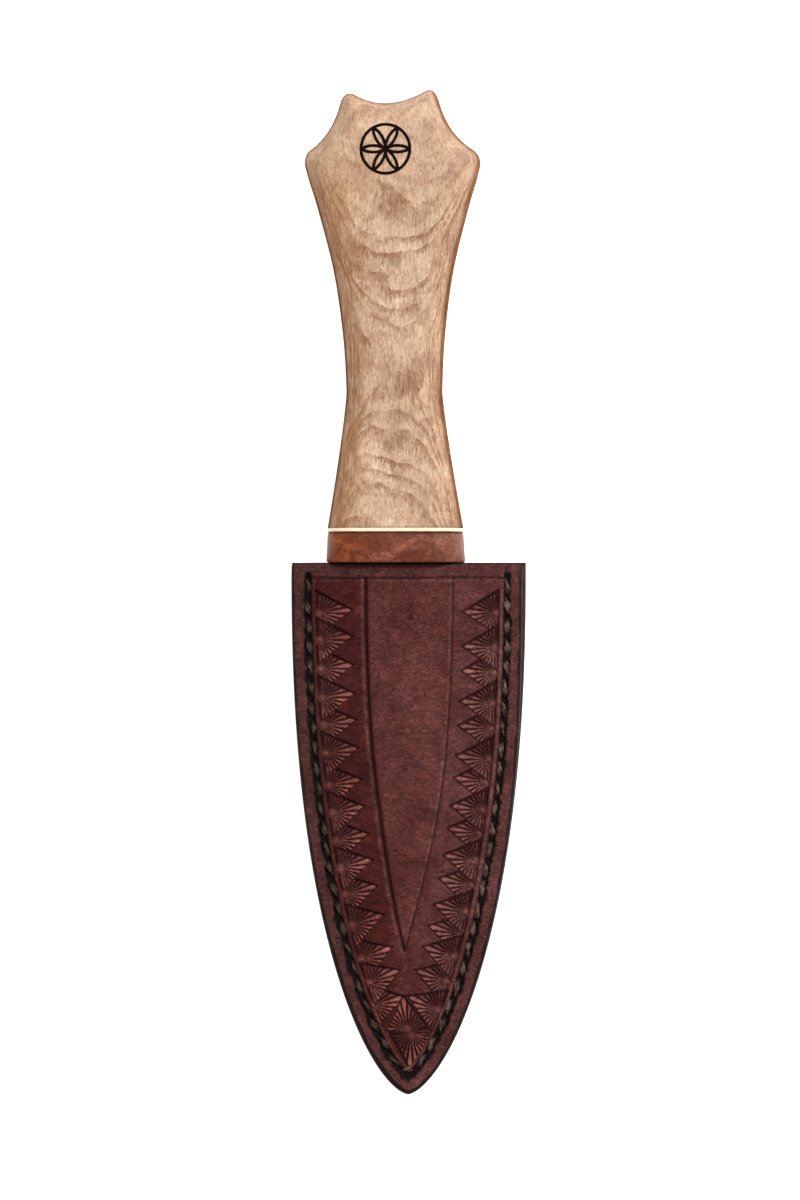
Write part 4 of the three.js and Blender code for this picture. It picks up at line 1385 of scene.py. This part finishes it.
finish_piece(grip_wood(), ash_wood(), "knife", "ash", "grip")
bolster_half = (BOLSTER_HIGH[0] - BOLSTER_LOW[0]) / 2
grip_half = SIDE_POINTS[0][0]
for name, node, low_half, bevel, material, slot in (
        ("burl_bolster", "bolster", bolster_half, 0.5, burl_wood(), "burl"),
        ("dark_joint_sheet", "dark_liner", grip_half, 0.03, dark_fibre(), "dark_fibre"),
        ("maple_spacer", "spacer", grip_half, 0.06, maple_veneer(), "maple")):
    low, high = box_mm(node)
    start = MOUTH_Y + BOLSTER_GAP if node == "bolster" else low[1]
    block = handle_block(name, start, high[1], low_half, grip_half, bevel)
    finish_piece(block, material, "knife", slot, node)
for steel_part in (steel_blade(), steel_tang()):
    finish_piece(steel_part, STEEL, "knife", "steel", "blade")
finish_piece(burned_mark(), char(), "knife", "ash")
epoxy_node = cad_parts["tang_epoxy"]
epoxy_node.data.materials.clear()
epoxy_node.data.materials.append(bedding_epoxy())


# ------------------------------------------------------------------ floor, light and camera
def studio_floor():
    """A wide pale floor, just under the part, whose far side is beyond every view."""
    size, below = FLOOR_SIZE, FLOOR_DROP * MM
    corners = [(-size, -size, -below), (size, -size, -below), (size, size, -below), (-size, size, -below)]
    mesh = bpy.data.meshes.new("floor")
    mesh.from_pydata(corners, [], [(0, 1, 2, 3)])
    paper = Finish("pale_paper", 0.9, 0.0)
    paper.set("Base Color", (0.93, 0.93, 0.93, 1.0))
    paper.set("Emission Color", (1.0, 1.0, 1.0, 1.0))
    paper.set("Emission Strength", FLOOR_GLOW)
    mesh.materials.append(paper.material)
    floor = placed("floor", mesh)


def soft_light(name, position, size, power):
    """A round soft light that shines at the part."""
    data = bpy.data.lights.new(name, "AREA")
    data.shape = "DISK"
    data.size = size
    data.energy = power
    lamp = placed(name, data)
    lamp.location = position
    lamp.rotation_euler = (-Vector(position)).to_track_quat("-Z", "Y").to_euler()


def studio_world():
    """An even pale surround, brighter at the horizon."""
    world = bpy.data.worlds.new("studio")
    world.use_nodes = True
    nodes, links = world.node_tree.nodes, world.node_tree.links
    background = nodes["Background"]
    background.inputs["Color"].default_value = (1.0, 1.0, 1.0, 1.0)
    height = nodes.new("ShaderNodeSeparateXYZ")
    fade = nodes.new("ShaderNodeMapRange")
    for key, value in (("From Min", HORIZON_HEIGHT), ("From Max", HAZE_TOP), ("To Min", HORIZON_STRENGTH),
                       ("To Max", WORLD_STRENGTH)):
        fade.inputs[key].default_value = value
    links.new(nodes.new("ShaderNodeTexCoord").outputs["Generated"], height.inputs[0])
    links.new(height.outputs["Z"], fade.inputs["Value"])
    links.new(fade.outputs["Result"], background.inputs["Strength"])
    bpy.context.scene.world = world


def photo_camera():
    """The camera where the photo's was."""
    data = bpy.data.cameras.new("photo_camera")
    data.sensor_fit = "VERTICAL"
    data.sensor_height = SENSOR
    data.lens = CAMERA_LENS
    camera = placed("photo_camera", data)
    away = Vector((math.sin(CAMERA_TILT), 0, math.cos(CAMERA_TILT)))
    camera.location = AIM + away * CAMERA_DISTANCE
    camera.rotation_euler = (0.0, CAMERA_TILT, 0.0)
    bpy.context.scene.camera = camera


studio_floor()
studio_world()
soft_light("key", KEY_PLACE, KEY_SIZE, KEY_POWER)
soft_light("fill", FILL_PLACE, FILL_SIZE, FILL_POWER)
photo_camera()
bpy.context.scene.view_settings.view_transform = "Standard"
